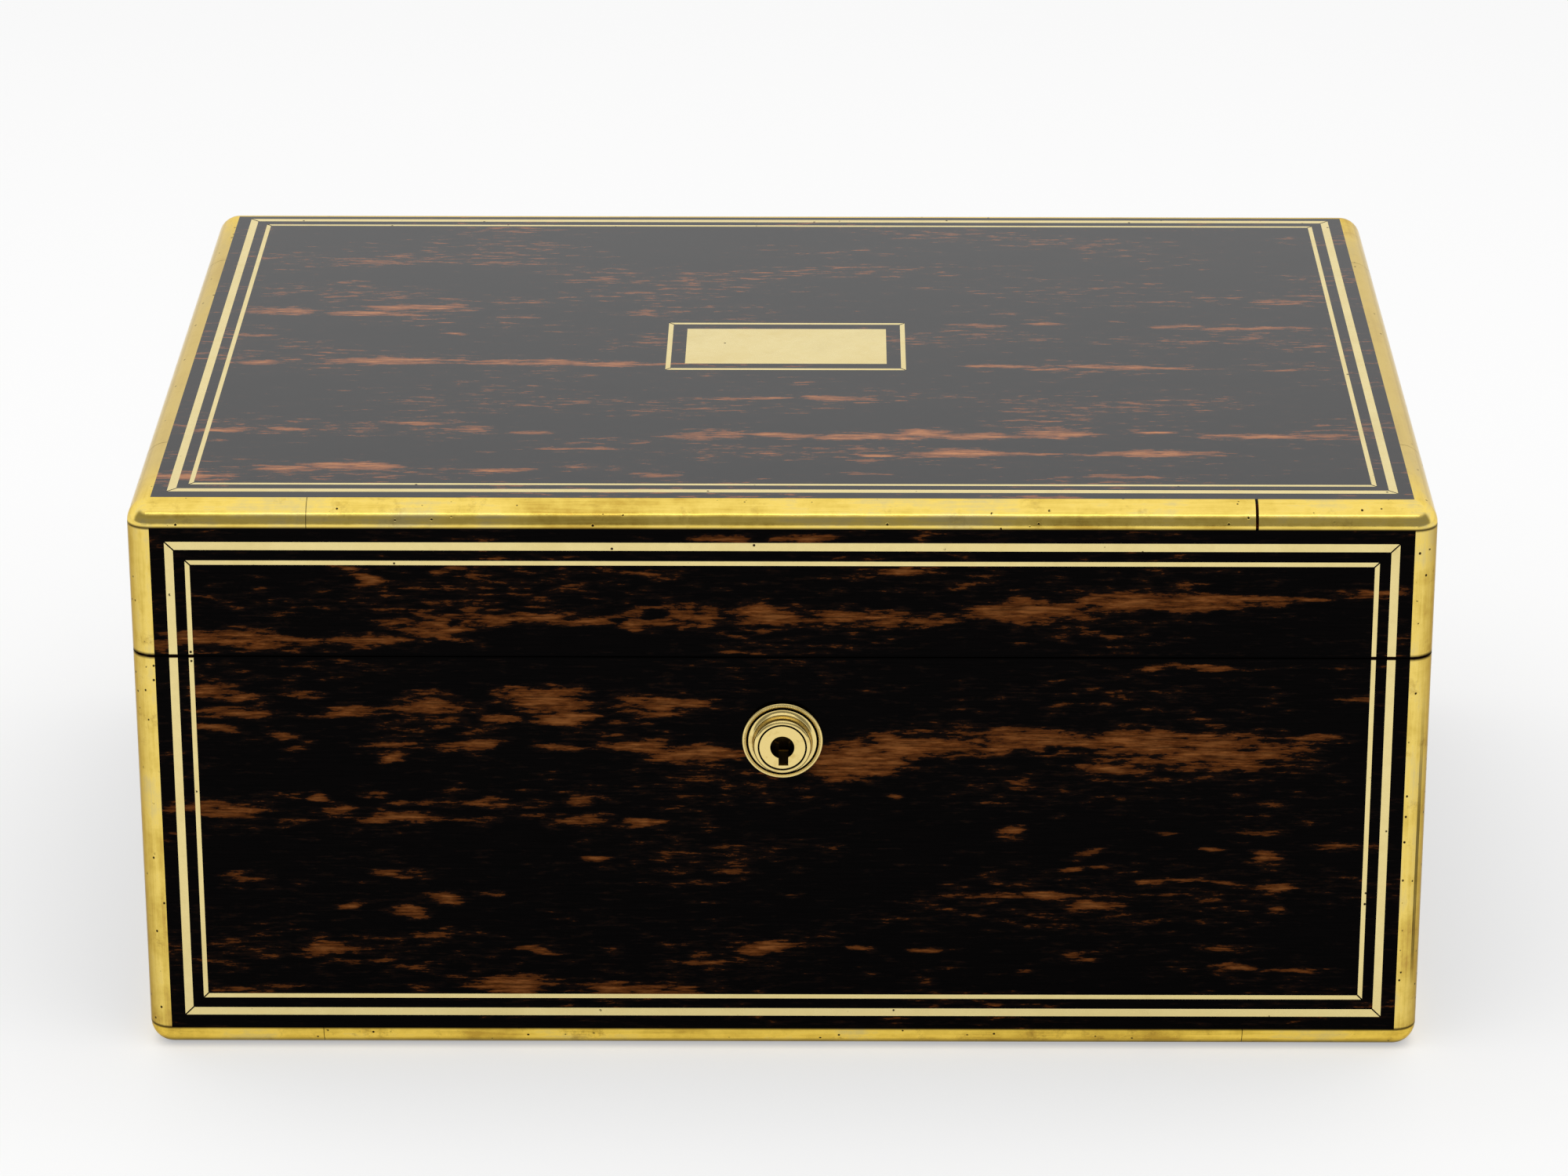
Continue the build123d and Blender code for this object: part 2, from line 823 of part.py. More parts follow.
def tray_dividers():
    """Two long dividers and the three short ones between them and the walls."""
    top = tray_deck + divider_height
    long_left = block(
        (-side_divider_x - half_divider, -tray_inner_y, tray_deck),
        (half_divider - side_divider_x, tray_inner_y, top),
    )
    pieces = [long_left, mirror(long_left, about=Plane.YZ)]
    for left, right, _, back in compartments()[:3]:
        pieces.append(block((left, back, tray_deck), (right, back + divider_thickness, top)))
    return group(pieces)


def ring_rolls():
    """The row of rolls in the front middle bay that hold rings between them."""
    left, right, front, back = compartments()[1]
    pitch = (back - front) / ring_roll_count
    radius = (pitch - ring_roll_slit) / 2
    rolls = []
    for n in range(ring_roll_count):
        y = front + pitch * (n + 0.5)
        shoulder = tray_deck + ring_roll_height - radius
        side = block(
            (left + pad_clearance, y - radius, tray_deck),
            (right - pad_clearance, y + radius, shoulder),
        )
        length = right - left - 2 * pad_clearance
        crown = Pos((left + right) / 2, y, shoulder) * Rot(0, 90, 0) * Cylinder(radius, length)
        rolls.append(side + crown)
    return group(rolls)


def tray_pads():
    """The pads on the floor of the five open bays."""
    bays = compartments()
    del bays[1]
    return group([soft_pad(*bay, tray_deck, tray_pad_thickness) for bay in bays])


def tray_knob(x):
    """A small turned knob on top of a short divider."""
    neck_height = knob_height - knob_radius
    collar = Pos(0, 0, knob_collar_height / 2) * Cylinder(half_divider, knob_collar_height)
    neck = Pos(0, 0, neck_height / 2) * Cylinder(knob_neck_radius, neck_height)
    ball = Pos(0, 0, neck_height) * Sphere(knob_radius)
    return Pos(x, cross_divider_y, tray_deck + divider_height) * (collar + neck + ball)


def lid_pad():
    """The padded panel inside the lid, crowned towards the tray."""
    x = inner_x - lid_frame_width - pad_clearance
    y = inner_y - lid_frame_width - pad_clearance
    low = lid_ceiling - lid_pad_thickness
    pad = block((-x, -y, low), (x, y, lid_ceiling))
    return fillet(pad.edges().group_by(Axis.Z)[0], lid_pad_thickness * lid_pad_rounding)


# All sub-parts by name

rebates = edging_rebates()
case_front, case_right, case_back, case_left = case_boards()
rail_front, rail_right, rail_back, rail_left = lid_rails()
case_side_veneer = side_veneer(edging_radius, case_rim)
lid_side_veneer = side_veneer(lid_rim, box_height - edging_radius)
leaf_screws = [place for middle in hinge_places() for place in leaf_screw_places(middle)]
top_corners = in_four_corners(corner_casting())
lid_frame = mitred_frame(
    -inner_x,
    inner_x,
    -inner_y,
    inner_y,
    lid_frame_width,
    Plane.XY.offset(lid_ceiling - lid_frame_thickness),
    lid_frame_thickness,
)
knob_x = (side_divider_x + half_divider + tray_inner_x) / 2
lid_lining_low = joint_z + lip_height + lip_clearance
lid_lining_high = lid_ceiling - lid_frame_thickness

parts = {
    "case_front_board": case_front,
    "case_right_board": case_right,
    "case_back_board": case_back,
    "case_left_board": case_left,
    "case_bottom_board": flat_board(underside_leather, case_floor),
    "underside_leather": leather_sheet(),
    "case_front_veneer": front_veneer(edging_radius, case_rim) - nozzle_room(),
    "case_back_veneer": back_veneer(edging_radius, case_rim, case_rim),
    "case_left_veneer": case_side_veneer,
    "case_right_veneer": mirror(case_side_veneer, about=Plane.YZ),
    "case_front_wide_line": lines_in(case_zone, wide_string, wide_inset),
    "case_front_fine_line": lines_in(case_zone, fine_string, fine_inset),
    "case_corner_posts": group(in_four_corners(post(edging_radius, case_rim))),
    "case_bottom_corners": group([upside_down(corner) for corner in top_corners]),
    "case_bottom_strips": group([upside_down(strip) for strip in edge_strips(edging_seam)]),
    "case_wall_lining": wall_lining(),
    "case_floor_pad": soft_pad(
        -bearer_inner_x, bearer_inner_x, -lined_y, lined_y, case_floor, floor_pad_thickness
    ),
    "tray_bearers": bearers(),
    "keyhole_escutcheon": escutcheon(),
    "keyhole_nozzle": nozzle(),
    "lock_box": lock_box(),
    "lock_cover": lock_cover(),
    "lock_selvedge": selvedge(),
    "lock_bolt": lock_bolt(),
    "lock_lever": lock_lever(),
    "lock_lever_spring": lever_spring(),
    "hinge_case_leaves": group([hinge_leaf(x, case_rim, True, 0) for x in hinge_places()]),
    "case_screws": group(screws_at(leaf_screws + lock_screw_places(), case_rim, True)),
    "hinge_pins": hinge_pins(),
    "lid_top_board": flat_board(lid_ceiling, box_height - veneer_thickness),
    "lid_front_rail": rail_front,
    "lid_right_rail": rail_right,
    "lid_back_rail": rail_back,
    "lid_left_rail": rail_left,
    "lid_top_veneer": top_veneer(),
    "lid_front_veneer": front_veneer(lid_rim, box_height - edging_radius),
    "lid_back_veneer": back_veneer(lid_rim, box_height - edging_radius, lid_rim),
    "lid_left_veneer": lid_side_veneer,
    "lid_right_veneer": mirror(lid_side_veneer, about=Plane.YZ),
    "lid_top_wide_line": group(top_lines(wide_string, wide_inset, string_depth, mitre_gap)),
    "lid_top_fine_line": group(top_lines(fine_string, fine_inset, string_depth, mitre_gap)),
    "lid_front_wide_line": lines_in(lid_zone, wide_string, wide_inset),
    "lid_front_fine_line": lines_in(lid_zone, fine_string, fine_inset),
    "name_plate": name_plate(),
    "name_plate_border": group(plate_border(string_depth, mitre_gap)),
    "lid_corner_posts": group(in_four_corners(post(lid_rim, box_height - edging_radius))),
    "lid_top_corners": group(top_corners),
    "lid_top_strips": group(edge_strips(shrunk_seam)),
    "lid_lining_frame": group(lid_frame),
    "lid_wall_lining": group(
        wall_ring(inner_x, inner_y, lid_lining_thickness, lid_lining_low, lid_lining_high)
    ),
    "lid_pad": lid_pad(),
    "lock_link_plate": link_plate(),
    "hinge_lid_leaves": group([hinge_leaf(x, lid_rim, False, 1) for x in hinge_places()]),
    "lid_screws": group(screws_at(leaf_screws + lock_screw_places(), lid_rim, False)),
    "tray_floor": block((-tray_x, -tray_y, tray_bottom), (tray_x, tray_y, tray_deck)),
    "tray_walls": group(
        wall_ring(tray_x, tray_y, tray_wall, tray_deck, tray_bottom + tray_height)
    ),
    "tray_dividers": tray_dividers(),
    "tray_ring_rolls": ring_rolls(),
    "tray_pads": tray_pads(),
    "tray_knobs": group([tray_knob(-knob_x), tray_knob(knob_x)]),
}

os.makedirs("parts", exist_ok=True)
for name, shape in parts.items():
    export_step(shape, f"parts/{name}.step")
print(len(parts), "sub-parts")
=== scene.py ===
import math

import bmesh
import bpy
import numpy as np
from mathutils import Matrix, Vector


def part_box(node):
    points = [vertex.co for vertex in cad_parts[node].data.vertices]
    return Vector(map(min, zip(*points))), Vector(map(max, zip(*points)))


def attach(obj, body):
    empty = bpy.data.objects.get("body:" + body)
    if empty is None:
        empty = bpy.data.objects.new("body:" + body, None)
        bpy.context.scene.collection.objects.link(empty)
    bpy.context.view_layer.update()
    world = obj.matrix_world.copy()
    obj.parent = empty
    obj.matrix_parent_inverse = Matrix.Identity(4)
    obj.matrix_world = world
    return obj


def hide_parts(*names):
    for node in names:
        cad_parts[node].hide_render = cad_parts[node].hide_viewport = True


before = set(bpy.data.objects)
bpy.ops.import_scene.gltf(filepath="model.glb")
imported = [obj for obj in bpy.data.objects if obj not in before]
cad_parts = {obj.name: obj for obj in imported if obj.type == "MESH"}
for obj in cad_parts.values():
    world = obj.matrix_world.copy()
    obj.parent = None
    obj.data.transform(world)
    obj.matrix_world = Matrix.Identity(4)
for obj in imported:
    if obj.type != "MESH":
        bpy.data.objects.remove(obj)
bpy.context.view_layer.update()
# The photograph's camera: a long lens about 1.3 m away, looking down at the front of the closed
# box. Its place and angles come from the box's own edges in the photograph.

scene = bpy.context.scene
mm = 0.001
camera_place = (11.98 * mm, -1312.1 * mm, 604.5 * mm)
camera_pitch = math.radians(21.96)
camera_roll = math.radians(0.115)
# The focal length, and the picture's shift to the side, in widths of the picture.
lens_widths = 3.5509
picture_shift = -0.0317

camera_data = bpy.data.cameras.new("photo_camera")
camera_data.lens = lens_widths * camera_data.sensor_width
camera_data.shift_x = picture_shift
camera = bpy.data.objects.new("photo_camera", camera_data)
scene.collection.objects.link(camera)
camera.matrix_world = (
    Matrix.Translation(camera_place)
    @ Matrix.Rotation(math.pi / 2 - camera_pitch, 4, "X")
    @ Matrix.Rotation(camera_roll, 4, "Z")
)
scene.camera = camera
scene.view_settings.view_transform = "Standard"

# The studio: a white floor and background, a broad soft light overhead and a narrow strip light
# above the camera. The room in front of the box is dim, which gives round metal its darker band.


def linear(hex_colour):
    """sRGB hex to linear: c / 12.92 up to 0.04045, and ((c + 0.055) / 1.055) to the 2.4 above."""
    c = np.array([int(hex_colour[i : i + 2], 16) for i in (1, 3, 5)]) / 255
    c = np.where(c <= 0.04045, c / 12.92, ((c + 0.055) / 1.055) ** 2.4)
    return (*c.tolist(), 1.0)


def fill(tree, made, values):
    """Sets a node's inputs: a value that is a node or a socket is linked, any other is set."""
    for key, value in values.items():
        if isinstance(value, bpy.types.Node):
            value = value.outputs[0]
        if isinstance(value, bpy.types.NodeSocket):
            tree.links.new(value, made.inputs[key])
        else:
            made.inputs[key].default_value = value


def node(tree, kind, inputs=None, stops=(), **settings):
    """Adds a shader node with its settings, its inputs and the stops of its colour ramp."""
    made = tree.nodes.new("ShaderNode" + kind)
    for name, value in settings.items():
        setattr(made, name, value)
    fill(tree, made, inputs or {})
    if stops:
        ramp = made.color_ramp.elements
        ramp[0].position = stops[0][0]
        ramp[-1].position = stops[-1][0]
        for place, _ in stops[1:-1]:
            ramp.new(place)
        for element, (_, colour) in zip(ramp, stops):
            element.color = linear(colour)
    return made


def area_light(name, place, aim, width, depth, radiance):
    """A flat lamp of even radiance: its power is radiance x pi x its area."""
    data = bpy.data.lights.new(name, "AREA")
    data.shape = "RECTANGLE"
    data.size = width
    data.size_y = depth
    data.energy = radiance * math.pi * width * depth
    lamp = bpy.data.objects.new(name, data)
    scene.collection.objects.link(lamp)
    away = Vector(place) - Vector(aim)
    lamp.matrix_world = Matrix.Translation(place) @ away.to_track_quat("Z", "Y").to_matrix().to_4x4()
    return lamp


softbox = area_light(
    "overhead_softbox", place=(0.0, -0.1, 1.5), aim=(0.0, 0.0, 0.07), width=1.5, depth=1.3, radiance=0.9
)
softbox.visible_glossy = False
area_light(
    "strip_light", place=(0.0, -0.84, 1.05), aim=(0.0, -0.1, 0.14), width=1.3, depth=0.06, radiance=1.7
)

# Polished metal mirrors a white room that is dim towards the front, up to some 45 degrees. The
# dimness fades between two parts of a direction backwards, and between two upwards.
fade_backwards = (-0.30, 0.05)
fade_upwards = (0.58, 0.80)
dim_level = 0.28
# Matt surfaces are lit by the lamps and by this much of the room. The camera sees it white.
soft_level = 0.55

room = bpy.data.worlds.new("studio_room")
scene.world = room
room.use_nodes = True
tree = room.node_tree
direction = node(tree, "SeparateXYZ", {0: node(tree, "TexCoord").outputs["Generated"]})
dimness = 1.0
for axis, (dim, bright) in {"Y": fade_backwards, "Z": fade_upwards}.items():
    fade = node(
        tree, "MapRange", {0: direction.outputs[axis], 1: dim, 2: bright, 3: 1.0, 4: 0.0},
        interpolation_type="SMOOTHSTEP",
    )
    dimness = node(tree, "Math", {0: fade, 1: dimness}, operation="MULTIPLY")
mirrored = node(tree, "MapRange", {0: dimness, 1: 0.0, 2: 1.0, 3: 1.0, 4: dim_level})
path = node(tree, "LightPath")
shiny = node(
    tree, "Math", {0: path.outputs["Is Glossy Ray"], 1: path.outputs["Is Transmission Ray"]},
    operation="MAXIMUM",
)
indirect = node(tree, "Mix", {0: shiny, 2: soft_level, 3: mirrored}, data_type="FLOAT")
strength = node(
    tree, "Mix", {0: path.outputs["Is Camera Ray"], 2: indirect, 3: 1.0}, data_type="FLOAT"
)
fill(tree, tree.nodes["Background"], {"Strength": strength, "Color": linear("#FFFFFF")})


def material(name):
    """A new node material: gives it back with its node tree and its Principled shader."""
    made = bpy.data.materials.new(name)
    made.use_nodes = True
    return made, made.node_tree, made.node_tree.nodes["Principled BSDF"]


# The floor is white paper. It glows a little where the camera or a mirror image shows it, so that
# it looks white and still keeps the box's shadow.
floor_half = 6.0
floor_glow = 0.42
floor_mesh = bpy.data.meshes.new("studio_floor")
corners = [(-1, -1), (1, -1), (1, 1), (-1, 1)]
floor_mesh.from_pydata([(x * floor_half, y * floor_half, 0.0) for x, y in corners], [], [(0, 1, 2, 3)])
floor = bpy.data.objects.new("studio_floor", floor_mesh)
scene.collection.objects.link(floor)
floor_paper, tree, shader = material("white_paper_floor")
path = node(tree, "LightPath")
seen = 0.0
for ray in ("Is Camera Ray", "Is Glossy Ray", "Is Transmission Ray"):
    seen = node(tree, "Math", {0: path.outputs[ray], 1: seen}, operation="MAXIMUM")
glow = node(tree, "Math", {0: seen, 1: floor_glow}, operation="MULTIPLY")
fill(tree, shader, {
    "Base Color": linear("#E4E4E4"),
    "Roughness": 0.9,
    "Specular IOR Level": 0.0,
    "Emission Color": linear("#FFFFFF"),
    "Emission Strength": glow,
})
floor_mesh.materials.append(floor_paper)


def finish_with(finish, *names):
    """Gives these pieces of the frame a material."""
    for name in names:
        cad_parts[name].material_slots[0].material = finish


# The carcass: the case's and the lid's boards are mahogany, sawn, planed and glued up with mitred
# corners. Only their rims and the hinge and lock seats show, when the lid is open.


def millimetres(tree, along="X", across="Z"):
    """The place on the piece in millimetres: x along the grain, y across it, z through it."""
    place = node(tree, "SeparateXYZ", {0: node(tree, "TexCoord").outputs["Object"]})
    rest = ({"X", "Y", "Z"} - {along, across}).pop()
    grain = node(
        tree, "CombineXYZ", {0: place.outputs[along], 1: place.outputs[across], 2: place.outputs[rest]}
    )
    return node(tree, "VectorMath", {0: grain, "Scale": 1 / mm}, operation="SCALE")


def mahogany(name, along, across):
    """Planed mahogany: red-brown, with open dark pores drawn out along the grain."""
    made, tree, shader = material(name)
    place = millimetres(tree, along, across)
    # Growth rings some 6 mm apart, drawn out forty times along the board.
    drawn = node(tree, "Mapping", {0: place, "Scale": (1 / 240, 1 / 6, 1 / 6)})
    rings = node(tree, "TexNoise", {0: drawn, "Scale": 1.0, "Detail": 4.0, "Distortion": 0.4})
    colour = node(
        tree, "ValToRGB", {0: rings},
        stops=[(0.25, "#4A2012"), (0.5, "#6E3218"), (0.75, "#874526")],
    )
    # Pores 0.2 mm wide and 3 mm long.
    thin = node(tree, "Mapping", {0: place, "Scale": (1 / 3, 1 / 0.2, 1 / 0.2)})
    pores = node(tree, "TexNoise", {0: thin, "Scale": 1.0, "Detail": 2.0})
    depth = node(tree, "MapRange", {0: pores, 1: 0.60, 2: 0.72, 3: 0.0, 4: 1.0})
    dark = node(tree, "Mix", {0: depth, 6: colour, 7: linear("#260F08")}, data_type="RGBA")
    relief = node(
        tree, "Bump", {"Height": depth, "Strength": 0.4, "Distance": 0.05 * mm}, invert=True
    )
    fill(tree, shader, {
        "Base Color": dark.outputs[2],
        "Roughness": node(tree, "MapRange", {0: rings, 3: 0.38, 4: 0.55}),
        "Normal": relief,
    })
    return made


finish_with(
    mahogany("mahogany_along_x", "X", "Y"),
    "case_front_board", "case_back_board", "case_bottom_board",
    "lid_front_rail", "lid_back_rail", "lid_top_board",
)
finish_with(
    mahogany("mahogany_along_y", "Y", "X"),
    "case_left_board", "case_right_board", "lid_left_rail", "lid_right_rail",
)

# The veneers: coromandel, a near-black ebony with brown flames, sawn 1.2 mm thick and glued to the
# boards with the grain running round the box. It is French polished, so it shines like glass.

# Each flame is an oval: its left and right end, its height and its thickness in millimetres on the
# face, and then how clear it is. On the front and the top they stand where the photograph shows them.
front_flames = [
    (-152, -104, 106.6, 7.5, 0.92), (-112, -80, 106.2, 5, 0.92), (-94, -66, 109.2, 8, 0.92),
    (-82, -40, 111, 4, 0.92), (-58, -22, 110.6, 4, 0.92), (-39, -8, 112.2, 6, 0.92),
    (-22, 14, 112.4, 6.5, 0.92), (4, 34, 113.4, 4.5, 0.92), (14, 48, 112.5, 7, 0.92),
    (34, 72, 114, 6, 0.92), (68, 92, 116.3, 4, 0.92), (84, 120, 116, 5, 0.92),
    (114, 132, 117.2, 2.5, 0.92), (126, 152, 119.2, 4.5, 0.92),
    (-106, -96, 124, 2.2, 0.7), (-99, -90, 121.6, 4.5, 0.8), (-82, -72, 124.4, 3, 0.8),
    (-38, -27, 121.8, 1.6, 0.7), (24, 34, 124, 2.6, 0.8), (-23, -8, 132.4, 2.4, 0.9),
    (-4, 14, 132.4, 2.6, 0.9),
    (-138, -128, 93, 4, 0.7), (-129, -121, 91.5, 3, 0.8), (-119, -107, 92.6, 2.2, 0.8),
    (-140, -110, 87.6, 3, 0.8), (-139, -127, 83.8, 3, 0.9), (-110, -94, 88, 5, 0.9),
    (-91, -74, 90.5, 7, 1), (-71, -63, 92.5, 3.4, 0.9), (-66, -47, 91.3, 6, 1),
    (-71, -64, 87.5, 3, 0.8), (-60, -46, 87.2, 3.8, 1), (-38, -9, 90, 6, 1),
    (-122, -115, 82.3, 2, 0.7), (-118, -111, 79.7, 3, 0.7), (-101, -84, 80, 1.8, 0.7),
    (-80, -66, 79.6, 3.2, 0.9), (-60, -45, 79, 4.2, 0.7), (-96, -88, 76.9, 2.8, 0.9),
    (-44, -23, 79.2, 4.6, 1), (-34, -6, 77.2, 5, 1), (3, 30, 76, 9, 1),
    (14, 52, 79.4, 7, 1), (36, 86, 81, 7, 1), (64, 106, 80.4, 9, 1),
    (84, 122, 79, 11, 1), (98, 128, 79, 10, 1), (114, 136, 82.4, 3.2, 1),
    (68, 81, 74.2, 3, 0.9), (80, 89, 99, 2, 0.8), (86, 113, 99.7, 1.5, 0.9),
    (129, 141, 91, 3.6, 0.7), (89, 105, 87, 1.8, 0.6),
    (-148, -122, 63.3, 5.6, 0.9), (-125, -114, 66.7, 2.3, 0.9), (-116, -106, 66.3, 2.6, 0.9),
    (-109, -99, 63.4, 3, 0.8), (-102, -93, 68, 2, 0.7), (-94, -78, 65.2, 2, 0.8),
    (-84, -74, 68.6, 4, 0.5), (-80, -59, 64.4, 3.2, 1), (-105, -77, 60.9, 3, 0.8),
    (-79, -56, 60.6, 2.8, 0.7), (-52, -44, 65.8, 3.2, 0.9), (-58, -39, 59.8, 5, 0.9),
    (-40, -30, 59.4, 2.2, 0.9), (48, 57, 57.8, 3.8, 1), (85, 94, 57.4, 2.4, 1),
    (103, 123, 58, 3.4, 0.8), (110, 122, 51.4, 5, 0.9), (119, 150, 53.8, 3.6, 0.9),
    (99, 106, 53.7, 2.3, 0.9), (66, 76, 52.3, 2.1, 0.8), (62, 78, 48, 2, 0.8),
    (84, 108, 45, 1.4, 0.7), (112, 126, 43.8, 1.8, 0.8), (51, 68, 41, 2.1, 0.9),
    (65, 82, 38.4, 2.4, 0.9), (112, 121, 37, 2.4, 0.7), (60, 76, 25, 3.2, 0.9),
    (54, 63, 21, 2.1, 0.7), (98, 111, 27.2, 3, 1), (101, 111, 22.5, 2.6, 0.9),
    (115, 134, 21.8, 1.6, 0.7), (-134, -120, 45.2, 3.6, 0.7), (-97, -89, 45.8, 3, 0.8),
    (-89, -75, 40, 3.8, 0.8), (-94, -84, 36.7, 4.2, 1), (-105, -96, 37, 2.5, 0.7),
    (-76, -64, 41, 1.9, 0.9), (-90, -73, 31.2, 4.4, 0.6), (-115, -102, 26.7, 2.1, 0.8),
    (-63, -51, 26, 2.1, 1), (-140, -113, 16, 4, 0.9), (-75, -52, 17, 5, 1),
    (-52, -28, 16, 4.2, 0.9), (-33, -16, 15.3, 2, 0.8), (-11, 5, 27.7, 2.8, 0.9),
    (13, 23, 27, 2, 0.8), (27, 42, 26.7, 2.3, 0.9), (-30, -10, 23.6, 1.7, 0.7),
    (-46, -38, 49.6, 2.1, 0.8), (-1, 6, 41.5, 2.7, 0.7), (23, 30, 66, 2.3, 0.9),
]
# The knots are ovals too, and black.
front_knots = [
    (-118, -108, 109.6, 5.5), (-80, -75, 111.4, 2.2), (-42.5, -37.5, 111.4, 2.2), (-33, -27, 112.6, 2.2),
    (60, 64, 78.5, 1.8), (-6, 2, 116, 2.4),
]
top_flames = [
    (-118, -72, -10.4, 5, 1), (-86, -48, -10.8, 5.5, 1), (-62, -27, -12, 5, 1),
    (-138, -120, 28, 6, 0.7), (-116, -94, 26, 5, 0.9), (-105, -78, 30.5, 5.5, 1),
    (-78, -62, 23, 2.6, 0.6), (-48, -26, 26, 6, 0.5), (-116, -97, 66, 6, 0.45),
    (-84, -57, 66, 5, 0.4), (-119, -106, 50, 4, 0.5), (-74, -27, 52, 6, 0.45),
    (42, 58, 17.6, 3, 0.9), (58, 70, 19.4, 3.4, 0.9), (76, 88, 20.4, 2.2, 0.7),
    (88, 106, 17.2, 3, 0.8), (106, 138, 15, 2.8, 0.9), (43, 59, -13.6, 3.2, 1),
    (69, 106, -13.6, 2.4, 0.9), (57, 67, -16, 2.6, 0.7), (112, 136, -15, 2.2, 0.7),
    (-30, -7, -61.6, 8, 1), (-10, 10, -63, 4.4, 1), (5, 32, -63.6, 4.4, 1),
    (26, 40, -60.6, 6, 1), (35, 56, -63, 5, 1), (56, 77, -61.6, 7, 0.9),
    (17, 29, -76, 3, 1), (31, 56, -74.6, 6, 1), (52, 71, -74, 3, 1),
    (67, 107, -74.6, 6, 1), (-58, -39, -72, 3.2, 0.9), (-83, -67, -58.6, 5.6, 0.8),
    (-67, -50, -61, 3.6, 0.9), (-96, -82, -55, 3, 0.7), (-143, -125, -59, 2.6, 0.8),
    (-124, -114, -58.6, 3.6, 0.8), (-139, -130, -67, 3.2, 0.7), (-126, -106, -85.6, 5, 0.9),
    (-112, -92, -83.6, 7, 1), (-152, -131, -91, 5, 0.7), (-75, -55, -87.4, 3.2, 0.8),
    (-35, -22, -89, 2.6, 0.8), (3, 16, -36, 3.4, 1), (-22, 8, -36.6, 2, 0.8),
    (83, 96, -60, 3.2, 0.9), (97, 133, -63, 4.4, 0.8), (126, 142, 41, 9, 0.5),
    (120, 136, 36, 5, 0.6), (9, 26, -88, 2.2, 0.8), (72, 90, -89.4, 2.4, 0.8),
    (-88, -78, 9.6, 2.6, 0.8), (-139, -123, 9, 2.2, 0.6), (-137, -124, -11, 3.6, 0.8),
    (-50, -20, -100, 3, 0.6), (40, 75, -104, 4, 0.5),
]
side_flames = [
    (-96, -52, 112, 7, 1), (-60, -18, 115, 8, 1), (-24, 30, 113.5, 6, 1), (24, 74, 117, 8, 0.9),
    (66, 104, 119, 5, 0.9), (-100, -70, 86, 6, 0.9), (-64, -34, 81, 7, 1), (-40, 4, 78, 8, 1),
    (6, 44, 82, 6, 0.9), (40, 92, 84, 8, 1), (-92, -66, 58, 4, 0.8), (-30, 2, 52, 4, 0.8),
    (28, 60, 55, 5, 0.9), (70, 100, 60, 4, 0.8), (-80, -50, 30, 5, 0.9), (-20, 10, 22, 4, 0.8),
    (34, 76, 27, 5, 0.9), (-60, -30, 12, 4, 0.9), (50, 92, 11, 4, 0.9),
]
back_flames = [
    (-148, -96, 117, 8, 1), (-104, -50, 114, 9, 1), (-58, -6, 111, 7, 1), (-10, 46, 113, 9, 1),
    (40, 96, 110, 7, 1), (88, 150, 108, 9, 1), (-140, -100, 84, 6, 0.9), (-90, -40, 80, 9, 1),
    (-46, 14, 84, 7, 1), (20, 70, 88, 6, 0.9), (64, 130, 82, 9, 1), (-132, -96, 60, 4, 0.8),
    (-70, -36, 56, 5, 0.9), (-8, 26, 62, 4, 0.8), (50, 88, 57, 5, 0.9), (104, 142, 52, 5, 0.9),
    (-120, -74, 30, 6, 0.9), (-40, -8, 26, 4, 0.8), (16, 58, 33, 5, 0.9), (84, 124, 24, 5, 0.9),
    (-96, -60, 11, 4, 0.9), (-20, 30, 12, 4, 0.9), (60, 110, 10, 5, 0.9),
]


def oval_distance(tree, place, left, right, height, thickness):
    """How far a place is from an oval's middle, with 1 on its outline: the length of the vector
    (x - middle) / half the oval's length, (y - height) / half its thickness."""
    middle = (left + right) / 2
    half_length = (right - left) / 2
    half_thickness = thickness / 2
    offset = node(tree, "VectorMath", {
        0: place,
        1: (1 / half_length, 1 / half_thickness, 0),
        2: (-middle / half_length, -height / half_thickness, 0),
    }, operation="MULTIPLY_ADD")
    return node(tree, "VectorMath", {0: offset}, operation="LENGTH").outputs["Value"]


